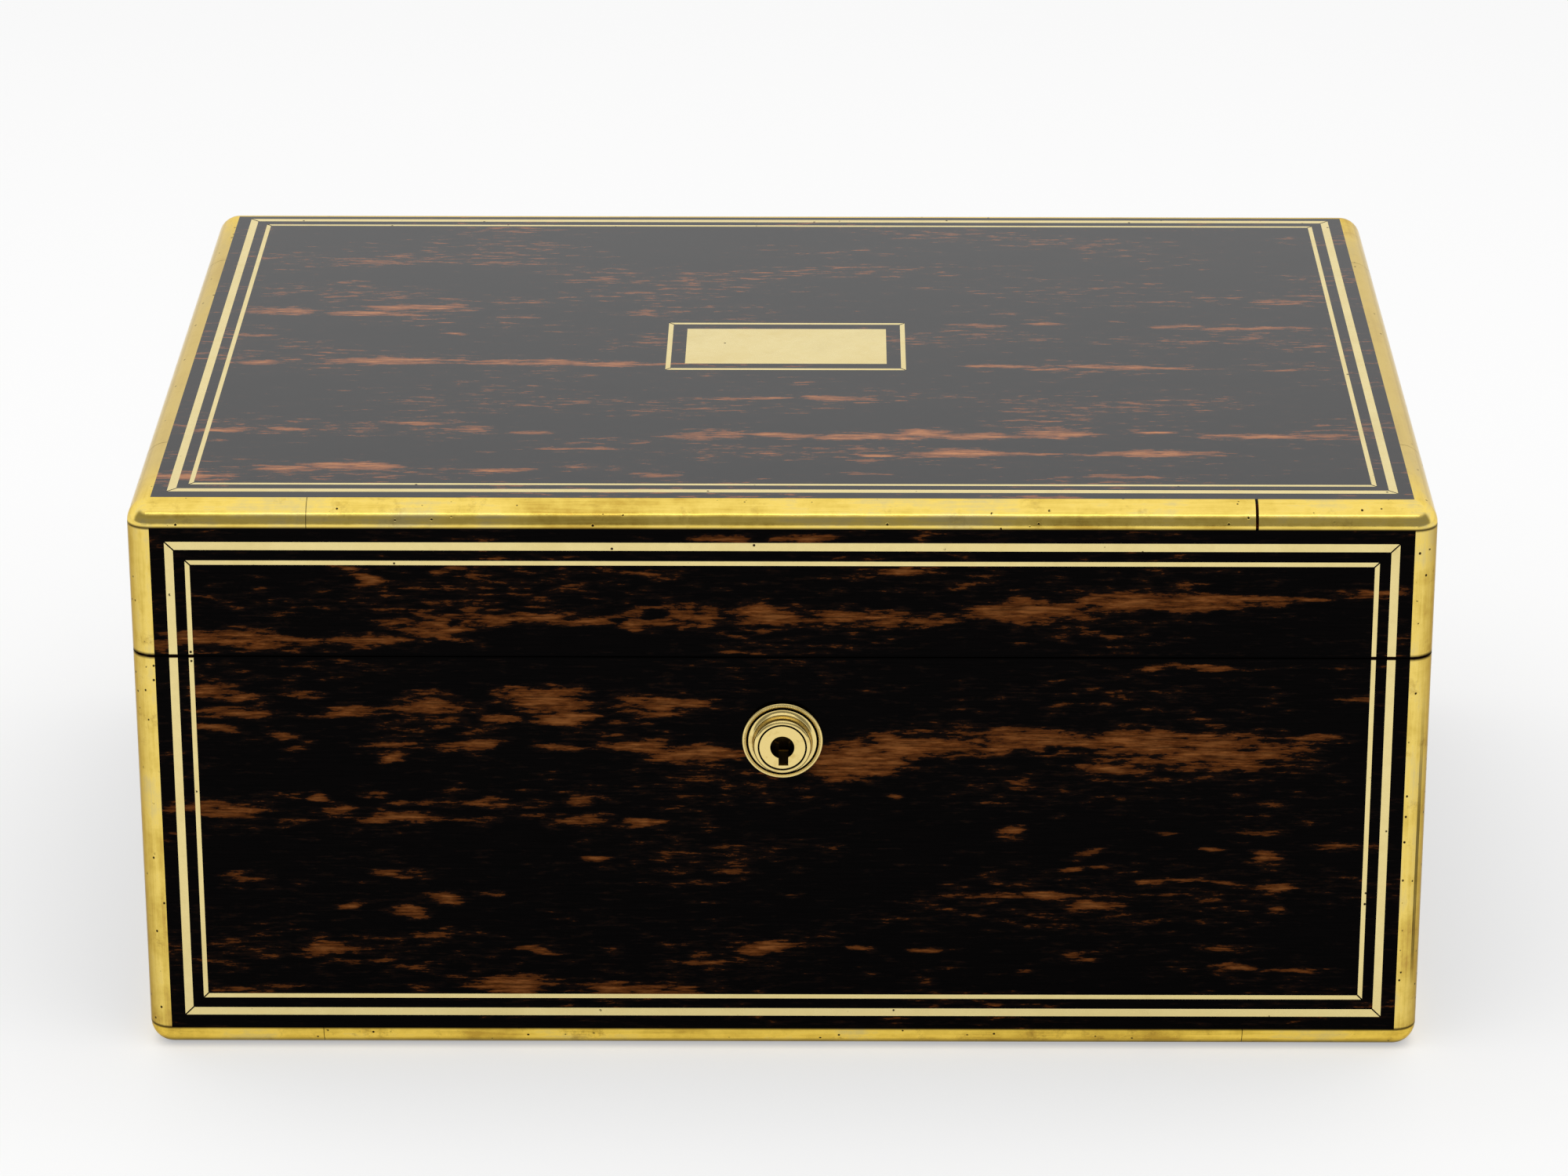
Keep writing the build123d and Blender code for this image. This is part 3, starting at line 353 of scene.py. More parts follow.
def coromandel(name, along, across, flames, knots, seed, gloss, brown=1.0, flecks=0.0):
    """French polished coromandel: ragged brown flames and flecks in near-black, under a glassy film.
    A flame is as high as it is clear at its middle and falls with the oval distance, to a quarter of
    that at its end. Noise drawn out along the grain is added, and what then lies above some 0.34 is
    brown and the rest is black."""
    made, tree, shader = material(name)
    place = millimetres(tree, along, across)
    flat = node(tree, "VectorMath", {0: place, 1: (1, 1, 0)}, operation="MULTIPLY")
    here = node(tree, "VectorMath", {0: flat, 1: (0, 0, seed)}, operation="ADD")
    # The place is shaken by some 3 mm along the grain and 1 mm across it, over 24 x 7 mm.
    drawn = node(tree, "Mapping", {0: here, "Scale": (1 / 24, 1 / 7, 1)})
    shake = node(tree, "TexNoise", {0: drawn, "Scale": 1.0, "Detail": 3.0, "Roughness": 0.55})
    shaken = node(
        tree, "VectorMath", {0: shake.outputs["Color"], 1: (0.5, 0.5, 0.5)}, operation="SUBTRACT"
    )
    shaken = node(
        tree, "VectorMath", {0: shaken, 1: (18.0, 6.0, 0.0), 2: flat}, operation="MULTIPLY_ADD"
    )
    figure = 0.0
    for *oval, clear in flames:
        away = oval_distance(tree, shaken, *oval)
        inside = node(tree, "Math", {0: away, 1: -0.75 * clear, 2: clear}, operation="MULTIPLY_ADD")
        figure = node(tree, "Math", {0: inside, 1: figure}, operation="MAXIMUM")
    # The middle of a flame is level, so that the noise can break it too.
    flame_level = 0.72
    figure = node(tree, "Math", {0: figure, 1: flame_level}, operation="MINIMUM")
    for oval in knots:
        away = oval_distance(tree, shaken, *oval)
        outside = node(tree, "Math", {0: away, 1: 0.7, 2: -0.4}, operation="MULTIPLY_ADD")
        figure = node(tree, "Math", {0: outside, 1: figure}, operation="MINIMUM")
    # Flecks some 7.5 mm long and 1.6 mm thick, and finer ones, in clouds some 50 mm long.
    small = node(tree, "Mapping", {0: here, "Scale": (1 / 7.5, 1 / 1.6, 1)})
    fleck = node(tree, "TexNoise", {0: small, "Scale": 1.0, "Detail": 6.0, "Roughness": 0.68})
    fleck = node(tree, "Math", {0: fleck, 1: 2.7, 2: -1.35}, operation="MULTIPLY_ADD")
    wide = node(tree, "Mapping", {0: here, "Scale": (1 / 50, 1 / 16, 1)})
    cloud = node(tree, "TexNoise", {0: wide, "Scale": 1.0, "Detail": 2.0})
    cloud = node(tree, "MapRange", {0: cloud, 1: 0.35, 2: 0.65, 3: flecks - 0.24, 4: flecks + 0.20})
    fleck = node(tree, "Math", {0: fleck, 1: cloud}, operation="ADD")
    figure = node(tree, "Math", {0: fleck, 1: figure}, operation="ADD")
    # Fibres streak the brown and fray its edges. At 0.6 mm thick and 12 mm long they are drawn
    # about twice as coarse as the real ones, so that they show.
    fine = node(tree, "Mapping", {0: here, "Scale": (1 / 12, 1 / 0.6, 1)})
    fibre = node(tree, "TexNoise", {0: fine, "Scale": 1.0, "Detail": 3.0, "Roughness": 0.7})
    fray = node(tree, "Math", {0: fibre, 1: 0.26, 2: -0.13}, operation="MULTIPLY_ADD")
    frayed = node(tree, "Math", {0: figure, 1: fray}, operation="ADD")
    shade = node(
        tree, "ValToRGB", {0: frayed},
        stops=[
            (0.00, "#050303"), (0.10, "#0C0706"), (0.34, "#1D1009"), (0.37, "#42220D"),
            (0.40, "#552D11"), (0.62, "#6E3C17"), (1.00, "#93592B"),
        ],
    )
    # brown scales the flames' colour. On the top it is about doubled, a painted light.
    streaks = node(tree, "MapRange", {0: fibre, 1: 0.32, 2: 0.62, 3: 0.35 * brown, 4: 1.15 * brown})
    colour = node(
        tree, "Mix", {0: 1.0, 6: shade, 7: streaks}, data_type="RGBA", blend_type="MULTIPLY"
    )
    # A band 0.58 mm either side of the joint between lid and case is painted near-black: a painted shade
    # for the gap and its rounded arrises.
    joint_shade_half_width = 0.58 * mm
    up = node(tree, "SeparateXYZ", {0: node(tree, "TexCoord").outputs["Object"]}).outputs["Z"]
    joint_shade = node(tree, "Math", {0: up, 1: joint_z, 2: joint_shade_half_width}, operation="COMPARE")
    colour = node(
        tree, "Mix", {0: joint_shade, 6: colour.outputs[2], 7: linear("#020101")}, data_type="RGBA"
    )
    # The polish lies over the pores, and is a little uneven over some 25 mm.
    ripple = node(tree, "TexNoise", {0: place, "Scale": 1 / 25, "Detail": 1.0})
    height = node(tree, "Math", {0: ripple, 1: 0.25}, operation="MULTIPLY")
    height = node(tree, "Math", {0: fibre, 1: 0.006, 2: height}, operation="MULTIPLY_ADD")
    rubbed = node(tree, "TexNoise", {0: place, "Scale": 1 / 14, "Detail": 3.0})
    fill(tree, shader, {
        "Base Color": colour.outputs[2],
        "Roughness": node(tree, "MapRange", {0: rubbed, 1: 0.3, 2: 0.7, 3: 0.06, 4: 0.14}),
        "IOR": 1.5,
        "Specular IOR Level": gloss,
        "Normal": node(tree, "Bump", {"Height": height, "Strength": 1.0, "Distance": 0.1 * mm}),
    })
    return made


# The front, the back and the sides mirror the dark of a room, and the top mirrors its pale ceiling.
# The top's brown is painted about twice as bright as on the other faces: a painted light for its
# stronger lighting from above.
upright_gloss = 0.02
top_gloss = 0.19
joint_z = (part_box("lid_front_veneer")[0].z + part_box("case_front_veneer")[1].z) / 2
finish_with(
    coromandel(
        "coromandel_front", "X", "Z", front_flames, front_knots, 3.0, upright_gloss, flecks=-0.02
    ),
    "case_front_veneer", "lid_front_veneer",
)
finish_with(
    coromandel("coromandel_top", "X", "Y", top_flames, [], 11.0, top_gloss, brown=2.05, flecks=0.05),
    "lid_top_veneer",
)
finish_with(
    coromandel("coromandel_back", "X", "Z", back_flames, [], 27.0, upright_gloss),
    "case_back_veneer", "lid_back_veneer",
)
finish_with(
    coromandel("coromandel_sides", "Y", "Z", side_flames, [], 45.0, upright_gloss),
    "case_left_veneer", "case_right_veneer", "lid_left_veneer", "lid_right_veneer",
)

# The brass edging: quarter rounds drawn and filed from solid brass, screwed and glued into a rebate
# along every edge, with three-way cast corners. A century of rubbing has left it soft and spotted.


def scratches(tree, place, on_side, drawn):
    """Streaks from 1.6 mm wide and 40 mm long down to hairlines, as drawing and rubbing leave them.
    On a post they stand upright, and on any other strip they follow the edge that it lies on."""
    length, width = 40, 1.6
    streaks = {}
    for axis in drawn:
        scale = tuple(1 / (length if axis == other else width) for other in "XYZ")
        thin = node(tree, "Mapping", {0: place, "Scale": scale})
        streaks[axis] = node(
            tree, "TexNoise", {0: thin, "Scale": 1.0, "Detail": 5.0, "Roughness": 0.7}
        )
    if "Z" in drawn:
        return streaks["Z"]
    return node(tree, "Mix", {0: on_side, 2: streaks["X"], 3: streaks["Y"]}, data_type="FLOAT")


def distance(tree, value, place):
    """The distance between a value and a place on the same axis: |value - place|."""
    off = node(tree, "Math", {0: value, 1: place}, operation="SUBTRACT")
    return node(tree, "Math", {0: off}, operation="ABSOLUTE")


def hand_streak(tree, here, hair):
    """A ragged brown streak on the right front post, where hands have held the box. Its fades are
    behind the front, towards its top, towards the foot, and between the scratches."""
    streak_x = 150.7
    half_width = 0.4
    streak = node(tree, "Math", {0: here.outputs["X"], 1: streak_x, 2: half_width}, operation="COMPARE")
    fades = (
        {0: here.outputs["Y"], 1: -106.0, 2: -105.0, 3: 1.0, 4: 0.0},
        {0: here.outputs["Z"], 1: 96.0, 2: 60.0, 3: 0.0, 4: 1.0},
        {0: here.outputs["Z"], 1: 16.0, 2: 26.0, 3: 0.0, 4: 1.0},
        {0: hair, 1: 0.30, 2: 0.50, 3: 0.25, 4: 0.75},
    )
    for fade in fades:
        streak = node(tree, "Math", {0: streak, 1: node(tree, "MapRange", fade)}, operation="MULTIPLY")
    return streak


def pits(tree, place, cloud, spots):
    """Pits some 0.6 mm across, in a random few of cells of 2.2 mm, and more of them where the
    cloud is dense."""
    cell = 2.2
    cells = node(tree, "TexVoronoi", {0: place, "Scale": 1 / cell, "Randomness": 1.0})
    pit = node(tree, "MapRange", {0: cells.outputs["Distance"], 1: 0.10, 2: 0.17, 3: 1.0, 4: 0.0})
    pick = node(tree, "SeparateColor", {0: cells.outputs["Color"]})
    many = node(tree, "MapRange", {0: cloud, 1: 0.40, 2: 0.60, 3: 0.4 * spots, 4: 2.0 * spots})
    pick = node(tree, "Math", {0: pick, 1: many}, operation="LESS_THAN")
    return node(tree, "Math", {0: pit, 1: pick}, operation="MULTIPLY")


def brass(
    name, stops, spots, roughness, mottling=1.0, stain=0.0, painted_side_shade=0.0, dirt_and_shade=0.0, tint="#FFFFFF",
    reach=1.4, drawn="XY", mitre=None, streak=False, pale=0.0,
):
    """Old drawn brass, whose warm shine is nowhere quite even. Its shade drifts over some 24 mm and
    2 mm and is scratched along its length, with dark pits, brown stains and a worn gloss. Dirt and
    painted shade darken it along the joints and the foot, and thin out over the reach in millimetres."""
    made, tree, shader = material(name)
    place = millimetres(tree, "X", "Y")
    here = node(tree, "SeparateXYZ", {0: place})
    up = here.outputs["Z"]
    drift = node(tree, "TexNoise", {0: place, "Scale": 1 / 24, "Detail": 4.0, "Roughness": 0.6})
    mottle = node(tree, "TexNoise", {0: place, "Scale": 1 / 2.2, "Detail": 5.0, "Roughness": 0.7})
    # How far in from the box's outside a place is, on x and on y.
    inward = node(tree, "VectorMath", {0: place}, operation="ABSOLUTE")
    inward = node(tree, "VectorMath", {0: half_box, 1: inward}, operation="SUBTRACT")
    inward = node(tree, "SeparateXYZ", {0: inward})
    on_side = node(
        tree, "Math", {0: inward.outputs["X"], 1: inward.outputs["Y"]}, operation="LESS_THAN"
    )
    hair = scratches(tree, place, on_side, drawn)
    # The mottling and the scratches shift the drift both ways, as both average a half.
    uneven = 0.22 * mottling
    scratched = 0.55 * mottling
    centre = -(uneven + scratched) / 2
    patina = node(tree, "Math", {0: mottle, 1: uneven, 2: centre}, operation="MULTIPLY_ADD")
    patina = node(tree, "Math", {0: hair, 1: scratched, 2: patina}, operation="MULTIPLY_ADD")
    patina = node(tree, "Math", {0: patina, 1: drift}, operation="ADD")
    colour = node(tree, "ValToRGB", {0: patina}, stops=stops)
    cloud = node(tree, "TexNoise", {0: place, "Scale": 1 / 9, "Detail": 8.0, "Roughness": 0.75})
    brown = node(tree, "MapRange", {0: cloud, 1: 0.56, 2: 0.70, 3: 0.0, 4: stain})
    # The posts' sides are painted browner from 0.2 to 4.1 mm behind the front: a painted shade for the
    # darker reflection where the round turns away.
    side_shade = node(tree, "MapRange", {0: inward.outputs["Y"], 1: 0.2, 2: 4.1, 3: 0.0, 4: painted_side_shade})
    brown = node(tree, "Math", {0: brown, 1: side_shade}, operation="ADD", use_clamp=True)
    # The brown coat carries the stains and the painted side shade.
    coats = [(brown, "#8F6C2C")]
    if pale:
        # The side edges are painted paler from 25 mm behind the front one: a painted light for their
        # hazier, paler look.
        behind = node(
            tree, "Math", {0: inward.outputs["Y"], 1: inward.outputs["X"]}, operation="SUBTRACT"
        )
        paler = node(tree, "MapRange", {0: behind, 1: 0.0, 2: 25.0, 3: 0.0, 4: pale})
        coats.append((paler, "#D0BC8C"))
    # Dirt and painted shade darken the lid's joint and the foot's bottom edge.
    gap = node(tree, "Math", {0: distance(tree, up, joint_z / mm), 1: up}, operation="MINIMUM")
    dirt_and_shade_mask = node(tree, "MapRange", {0: gap, 1: 0.25, 2: reach, 3: dirt_and_shade, 4: 0.0})
    dirt_and_shade_mask = node(tree, "Math", {0: dirt_and_shade_mask, 1: mottle, 2: dirt_and_shade_mask}, operation="MULTIPLY_ADD", use_clamp=True)
    marks = []
    if "Z" in drawn or dirt_and_shade > 0.6:
        # It draws a dark line where the posts meet the corner pieces. Along the top edging it also dims
        # the lower bright band of the round: partly a painted shade.
        for seam in post_ends:
            off = distance(tree, up, seam / mm)
            marks.append(node(tree, "MapRange", {0: off, 1: 0.10, 2: 0.55, 3: 0.9, 4: 0.0}))
    if mitre:
        # The mitred corners of a frame of lines, where |x| - |v - middle| is the same all round.
        axis, middle, difference = mitre
        half_width = 0.24
        diagonal = node(tree, "Math", {
            0: distance(tree, here.outputs["X"], 0.0),
            1: distance(tree, here.outputs[axis], middle / mm),
        }, operation="SUBTRACT")
        marks.append(node(
            tree, "Math", {0: diagonal, 1: difference / mm, 2: half_width}, operation="COMPARE"
        ))
    if streak:
        marks.append(hand_streak(tree, here, hair))
    pit = pits(tree, place, cloud, spots)
    # The dark coat takes the dirt and painted shade, the lines and the pits.
    dark = dirt_and_shade_mask
    for mark in (*marks, pit):
        dark = node(tree, "Math", {0: dark, 1: mark}, operation="MAXIMUM")
    for share, coat in (*coats, (dark, "#20120A")):
        mixed = node(tree, "Mix", {0: share, 6: colour, 7: linear(coat)}, data_type="RGBA")
        colour = mixed.outputs[2]
    worn = node(tree, "Math", {0: mottle, 1: dark}, operation="ADD")
    worn = node(tree, "MapRange", {0: worn, 1: 0.3, 2: 0.9, 3: roughness * 0.8, 4: roughness * 1.6})
    dents = node(tree, "TexNoise", {0: place, "Scale": 1 / 7, "Detail": 2.0})
    height = node(tree, "Math", {0: dents, 1: 0.1 + 0.4 * mottling}, operation="MULTIPLY")
    for layer, share in ((mottle, 0.05 * mottling), (hair, 0.03 * mottling), (pit, -0.5)):
        height = node(tree, "Math", {0: layer, 1: share, 2: height}, operation="MULTIPLY_ADD")
    fill(tree, shader, {
        "Base Color": colour,
        "Metallic": 1.0,
        "Specular Tint": linear(tint),
        "Roughness": worn,
        "Normal": node(tree, "Bump", {"Height": height, "Strength": 1.0, "Distance": 0.12 * mm}),
    })
    return made


half_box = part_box("case_corner_posts")[1] / mm
post_ends = (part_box("case_corner_posts")[0].z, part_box("lid_corner_posts")[1].z)
lacquer_tint = "#EFE4C6"
edging_shades = [(0.30, "#D2AE4A"), (0.42, "#ECCC60"), (0.54, "#FBDC70"), (0.68, "#E6D084")]
foot_shades = [(0.30, "#C09C3C"), (0.42, "#DEBC4C"), (0.54, "#F2D05A"), (0.68, "#DCC470")]
post_shades = [(0.30, "#BE9A48"), (0.42, "#D9BB58"), (0.54, "#ECCF6C"), (0.68, "#DCC67C")]
finish_with(
    brass(
        "edging_brass_worn", edging_shades, spots=0.14, roughness=0.13, stain=0.4, dirt_and_shade=0.7,
        tint=lacquer_tint, pale=0.75,
    ),
    "lid_top_corners", "lid_top_strips",
)
finish_with(
    brass(
        "foot_brass_worn", foot_shades, spots=0.18, roughness=0.16, stain=0.7, dirt_and_shade=0.8,
        tint=lacquer_tint, reach=2.6,
    ),
    "case_bottom_corners", "case_bottom_strips",
)
finish_with(
    brass(
        "post_brass_worn", post_shades, spots=0.32, roughness=0.15, stain=0.6, painted_side_shade=0.85,
        dirt_and_shade=0.7, tint=lacquer_tint, reach=0.9, drawn="Z", streak=True,
    ),
    "case_corner_posts", "lid_corner_posts",
)

# The brass lines and the name plate: strips of sheet brass glued into scratched grooves and scraped
# flush with the veneer, so that they are flat and pale under the polish.

line_shades = [(0.30, "#E2CE8C"), (0.50, "#EAD796"), (0.70, "#E6D18D")]


def frame_mitre(lowest, highest, axis):
    """Where the mitres of a frame of lines lie: its axis, its middle on it, and |x| - |v - middle|."""
    first = getattr(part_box(lowest)[0], axis)
    last = getattr(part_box(highest)[1], axis)
    return axis.upper(), (first + last) / 2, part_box(highest)[1].x - (last - first) / 2


line_look = {"roughness": 0.28, "mottling": 0.15, "stain": 0.1}
front_mitre = frame_mitre("case_front_wide_line", "lid_front_wide_line", "z")
top_mitre = frame_mitre("lid_top_wide_line", "lid_top_wide_line", "y")
border_mitre = frame_mitre("name_plate_border", "name_plate_border", "y")
finish_with(
    brass(
        "line_brass_front", line_shades, spots=0.1, dirt_and_shade=1.0, reach=0.55, mitre=front_mitre, **line_look
    ),
    "case_front_wide_line", "case_front_fine_line", "lid_front_wide_line", "lid_front_fine_line",
)
finish_with(
    brass("line_brass_top", line_shades, spots=0.1, mitre=top_mitre, **line_look),
    "lid_top_wide_line", "lid_top_fine_line",
)
finish_with(
    brass("border_brass", line_shades, spots=0.05, mitre=border_mitre, **line_look),
    "name_plate_border",
)
finish_with(
    brass("plate_brass", line_shades, spots=0.02, roughness=0.28, mottling=0.1, stain=0.05),
    "name_plate",
)

# The keyhole surround: turned from brass rod, with a knurled ring of fine beads round its rim, a
# groove, a cove and a raised boss. It is held by a spigot in the veneer and polished bright.


def grid_mesh(name, points, finish):
    """A closed mesh over a grid of points (rows x columns x 3) that goes round with its columns.
    Rows that shrink to one point close the ends, and doubles are merged."""
    rows, columns, _ = points.shape
    corner = np.arange(rows * columns).reshape(rows, columns)
    corner = np.concatenate([corner, corner[:, :1]], axis=1)
    faces = np.stack([corner[:-1, :-1], corner[:-1, 1:], corner[1:, 1:], corner[1:, :-1]], axis=-1)
    mesh = bpy.data.meshes.new(name)
    mesh.from_pydata(points.reshape(-1, 3).tolist(), [], faces.reshape(-1, 4).tolist())
    shape = bmesh.new()
    shape.from_mesh(mesh)
    bmesh.ops.remove_doubles(shape, verts=shape.verts, dist=1e-6)
    bmesh.ops.recalc_face_normals(shape, faces=shape.faces)
    shape.to_mesh(mesh)
    shape.free()
    mesh.shade_smooth()
    mesh.materials.append(finish)
    piece = bpy.data.objects.new(name, mesh)
    scene.collection.objects.link(piece)
    return piece


def arc(centre, radius, start, end, count=12):
    """Points of an arc, with angles in degrees from the first axis to the second."""
    turn = np.radians(np.linspace(start, end, count))
    return np.stack([centre[0] + radius * np.cos(turn), centre[1] + radius * np.sin(turn)], axis=1)


surround_low, surround_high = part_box("keyhole_escutcheon")
key_x = (surround_low.x + surround_high.x) / 2
key_z = (surround_low.z + surround_high.z) / 2
front_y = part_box("case_front_veneer")[0].y
surround_radius = (surround_high.x - surround_low.x) / 2
boss_proud = front_y - surround_low.y
spigot_depth = surround_high.y - front_y
rim_proud = 1.5 * mm
rim_round = 0.3 * mm
bead_count = 144
bead_pitch_radius = surround_radius - 0.66 * mm
bead_radius = 0.26 * mm
bead_height = 0.16 * mm
bead_seat = 0.15 * mm
boss_radius = 6.8 * mm
boss_round = 0.8 * mm
bore_radius = 5.7 * mm
bore_chamfer = 0.12 * mm
spigot_radius = 7.2 * mm
groove_outer = 8.46 * mm
groove_inner = 8.12 * mm
groove_depth = 0.3 * mm
soft = 0.06 * mm
cove_radius = groove_inner - boss_radius

# The outline as radius and height above the veneer, from the spigot's back round the outside.
outline = np.concatenate([
    [(bore_radius, -spigot_depth), (spigot_radius, -spigot_depth), (spigot_radius, 0.0)],
    [(surround_radius, 0.0)],
    arc((surround_radius - rim_round, rim_proud - bead_seat - rim_round), rim_round, 0, 80, 6),
    np.stack([
        np.linspace(bead_pitch_radius + bead_radius, bead_pitch_radius - bead_radius, 9),
        np.full(9, rim_proud - bead_seat),
    ], axis=1),
    arc((groove_outer + soft, rim_proud - soft), soft, 90, 180, 4),
    [(groove_outer, rim_proud - groove_depth), (groove_inner, rim_proud - groove_depth)],
    arc((groove_inner - soft, rim_proud - soft), soft, 0, 90, 4),
    arc((groove_inner - soft, rim_proud + cove_radius), cove_radius - soft, 270, 180, 12),
    arc((boss_radius - boss_round, boss_proud - boss_round), boss_round, 0, 90, 10),
    [(bore_radius + bore_chamfer, boss_proud)],
    [(bore_radius, boss_proud - bore_chamfer), (bore_radius, -spigot_depth)],
])
around = np.linspace(0, 2 * math.pi, bead_count * 6, endpoint=False)
radius, proud = outline[:, :1], outline[:, 1:]
# A bead is a hump across the ring and along it: the product of two half waves.
across = np.clip(1 - ((radius - bead_pitch_radius) / bead_radius) ** 2, 0, 1) ** 0.5
across = across * (proud > rim_proud - 0.2 * mm)
along = np.abs(np.sin(around * bead_count / 2))[None, :]
proud = proud + bead_height * across * along
points = np.stack([
    key_x + radius * np.cos(around)[None, :],
    front_y - proud,
    key_z + radius * np.sin(around)[None, :],
], axis=-1)


def turned_brass(name, shade):
    """Bright turned brass: rings a tenth of a millimetre wide round the keyhole, and depths painted
    black as shade.
    """
    made, tree, shader = material(name)
    place = millimetres(tree, "X", "Z")
    middle = (key_x / mm, key_z / mm, 0)
    out = node(tree, "VectorMath", {0: place, 1: middle}, operation="SUBTRACT")
    flat = node(tree, "VectorMath", {0: out, 1: (1, 1, 0)}, operation="MULTIPLY")
    ring = node(tree, "VectorMath", {0: flat}, operation="LENGTH").outputs["Value"]
    turning = node(tree, "TexNoise", {"W": ring, "Scale": 9.0, "Detail": 2.0}, noise_dimensions="1D")
    cloud = node(tree, "TexNoise", {0: place, "Scale": 1 / 4, "Detail": 6.0, "Roughness": 0.65})
    colour = node(
        tree, "ValToRGB", {0: cloud},
        stops=[(0.30, "#CDB068"), (0.46, shade), (0.62, shade), (0.80, "#D3BA78")],
    )
    # The keyhole is painted black from 0.25 mm behind the face of the boss: a painted shade for its dark
    # inside.
    face = (front_y - boss_proud) / mm
    keyhole_reach = 5.2
    deep = node(tree, "SeparateXYZ", {0: place}).outputs["Z"]
    black = node(tree, "MapRange", {0: deep, 1: face + 0.25, 2: face + 1.2, 3: 0.0, 4: 1.0})
    hole = node(tree, "Math", {0: ring, 1: keyhole_reach}, operation="LESS_THAN")
    black = node(tree, "Math", {0: black, 1: hole}, operation="MULTIPLY")
    # The groove in the rim and the seam between the boss and the nozzle are painted black too.
    rim_groove = (groove_outer + groove_inner) / 2
    seam = bore_radius - bore_chamfer
    for groove, half_width in ((rim_groove, 0.27), (seam, 0.21)):
        painted_black = node(tree, "Math", {0: ring, 1: groove / mm, 2: half_width}, operation="COMPARE")
        black = node(tree, "Math", {0: black, 1: painted_black}, operation="MAXIMUM")
    colour = node(tree, "Mix", {0: black, 6: colour, 7: linear("#060402")}, data_type="RGBA")
    height = node(tree, "Math", {0: turning, 1: 0.012}, operation="MULTIPLY")
    height = node(tree, "Math", {0: cloud, 1: 0.02, 2: height}, operation="MULTIPLY_ADD")
    fill(tree, shader, {
        "Base Color": colour.outputs[2],
        "Metallic": 1.0,
        "Roughness": node(tree, "MapRange", {0: cloud, 1: 0.3, 2: 0.7, 3: 0.05, 4: 0.12}),
        "Normal": node(tree, "Bump", {"Height": height, "Strength": 1.0, "Distance": 1.0 * mm}),
    })
    return made


surround_brass = turned_brass("surround_brass_turned", "#E8D088")
surround = grid_mesh("keyhole_surround_beaded", points, surround_brass)
surround.data.set_sharp_from_angle(angle=math.radians(50))
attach(surround, "case")
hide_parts("keyhole_escutcheon")

# The nozzle: the lock's own round tube, turned from brass and riveted to the lock. It fills the
# boss, and the keyhole is cut in it.

finish_with(surround_brass, "keyhole_nozzle")

# The lock, the hinges and their screws: a brass link-plate lock let into the front board, two
# stopped brass hinges at the back, and brass screws. Drawn from sheet and left dull inside the box.

fitting_shades = [(0.30, "#B3924A"), (0.50, "#CBAA5C"), (0.70, "#BE9F58")]
finish_with(
    brass("fitting_brass_dull", fitting_shades, spots=0.04, roughness=0.34),
    "lock_box", "lock_cover", "lock_selvedge", "lock_link_plate", "lock_bolt", "lock_lever",
    "hinge_case_leaves", "hinge_lid_leaves", "case_screws", "lid_screws",
)


def steel(name):
    """Blued spring steel: dark grey-blue, drawn along its length, with brown rust specks."""
    made, tree, shader = material(name)
    place = millimetres(tree, "X", "Y")
    cloud = node(tree, "TexNoise", {0: place, "Scale": 1 / 3, "Detail": 4.0})
    colour = node(
        tree, "ValToRGB", {0: cloud},
        stops=[(0.35, "#6B6F75"), (0.55, "#8A8D92"), (0.72, "#7A6A5A")],
    )
    fill(tree, shader, {
        "Base Color": colour,
        "Metallic": 1.0,
        "Roughness": node(tree, "MapRange", {0: cloud, 3: 0.25, 4: 0.5}),
        "Normal": node(tree, "Bump", {"Height": cloud, "Strength": 0.3, "Distance": 0.05 * mm}),
    })
    return made


finish_with(steel("spring_steel_blued"), "lock_lever_spring", "hinge_pins")

# The tray's wood: a floor, walls and dividers of thin mahogany boards, glued up with mitred
# corners, and planed and left dark with polish.

finish_with(mahogany("tray_mahogany_along_x", "X", "Y"), "tray_floor", "tray_walls", "tray_dividers")

# The knobs: two small brass knobs, turned from rod and polished. Each is screwed into a short
# divider of the tray, to lift it by.

knob_shades = [(0.30, "#D9BD6C"), (0.50, "#E8D088"), (0.70, "#E2C87C")]
finish_with(brass("knob_brass_turned", knob_shades, spots=0.02, roughness=0.16), "tray_knobs")

# The linings: thin boards covered in blue cotton velvet, glued inside the case and the lid. The
# tray rests on two covered bearers.


def velvet(name, shades):
    """Cotton velvet: a short pile whose nap lies in clouds, lighter where it is seen edge on."""
    made, tree, shader = material(name)
    place = millimetres(tree, "X", "Y")
    nap = node(tree, "TexNoise", {0: place, "Scale": 1 / 14, "Detail": 4.0, "Roughness": 0.6})
    colour = node(tree, "ValToRGB", {0: nap}, stops=shades)
    tufts = node(tree, "TexNoise", {0: place, "Scale": 1 / 0.35, "Detail": 2.0})
    height = node(tree, "Math", {0: tufts, 1: 0.2}, operation="MULTIPLY")
    height = node(tree, "Math", {0: nap, 1: 0.6, 2: height}, operation="MULTIPLY_ADD")
    fill(tree, shader, {
        "Base Color": colour,
        "Roughness": node(tree, "MapRange", {0: tufts, 3: 0.85, 4: 1.0}),
        "Specular IOR Level": 0.1,
        "Sheen Weight": 0.5,
        "Sheen Roughness": 0.35,
        "Sheen Tint": linear("#8E9AD8"),
        "Normal": node(tree, "Bump", {"Height": height, "Strength": 0.6, "Distance": 0.6 * mm}),
    })
    return made


lining_velvet = velvet(
    "lining_velvet_blue", [(0.30, "#111844"), (0.50, "#141D4E"), (0.70, "#182358")]
)
finish_with(lining_velvet, "case_wall_lining", "lid_wall_lining", "tray_bearers")

# The pads: the floor of the case and of five bays of the tray have cards covered in wadding and
# velvet. They are stuffed lightly, so that they crown by a millimetre or so.


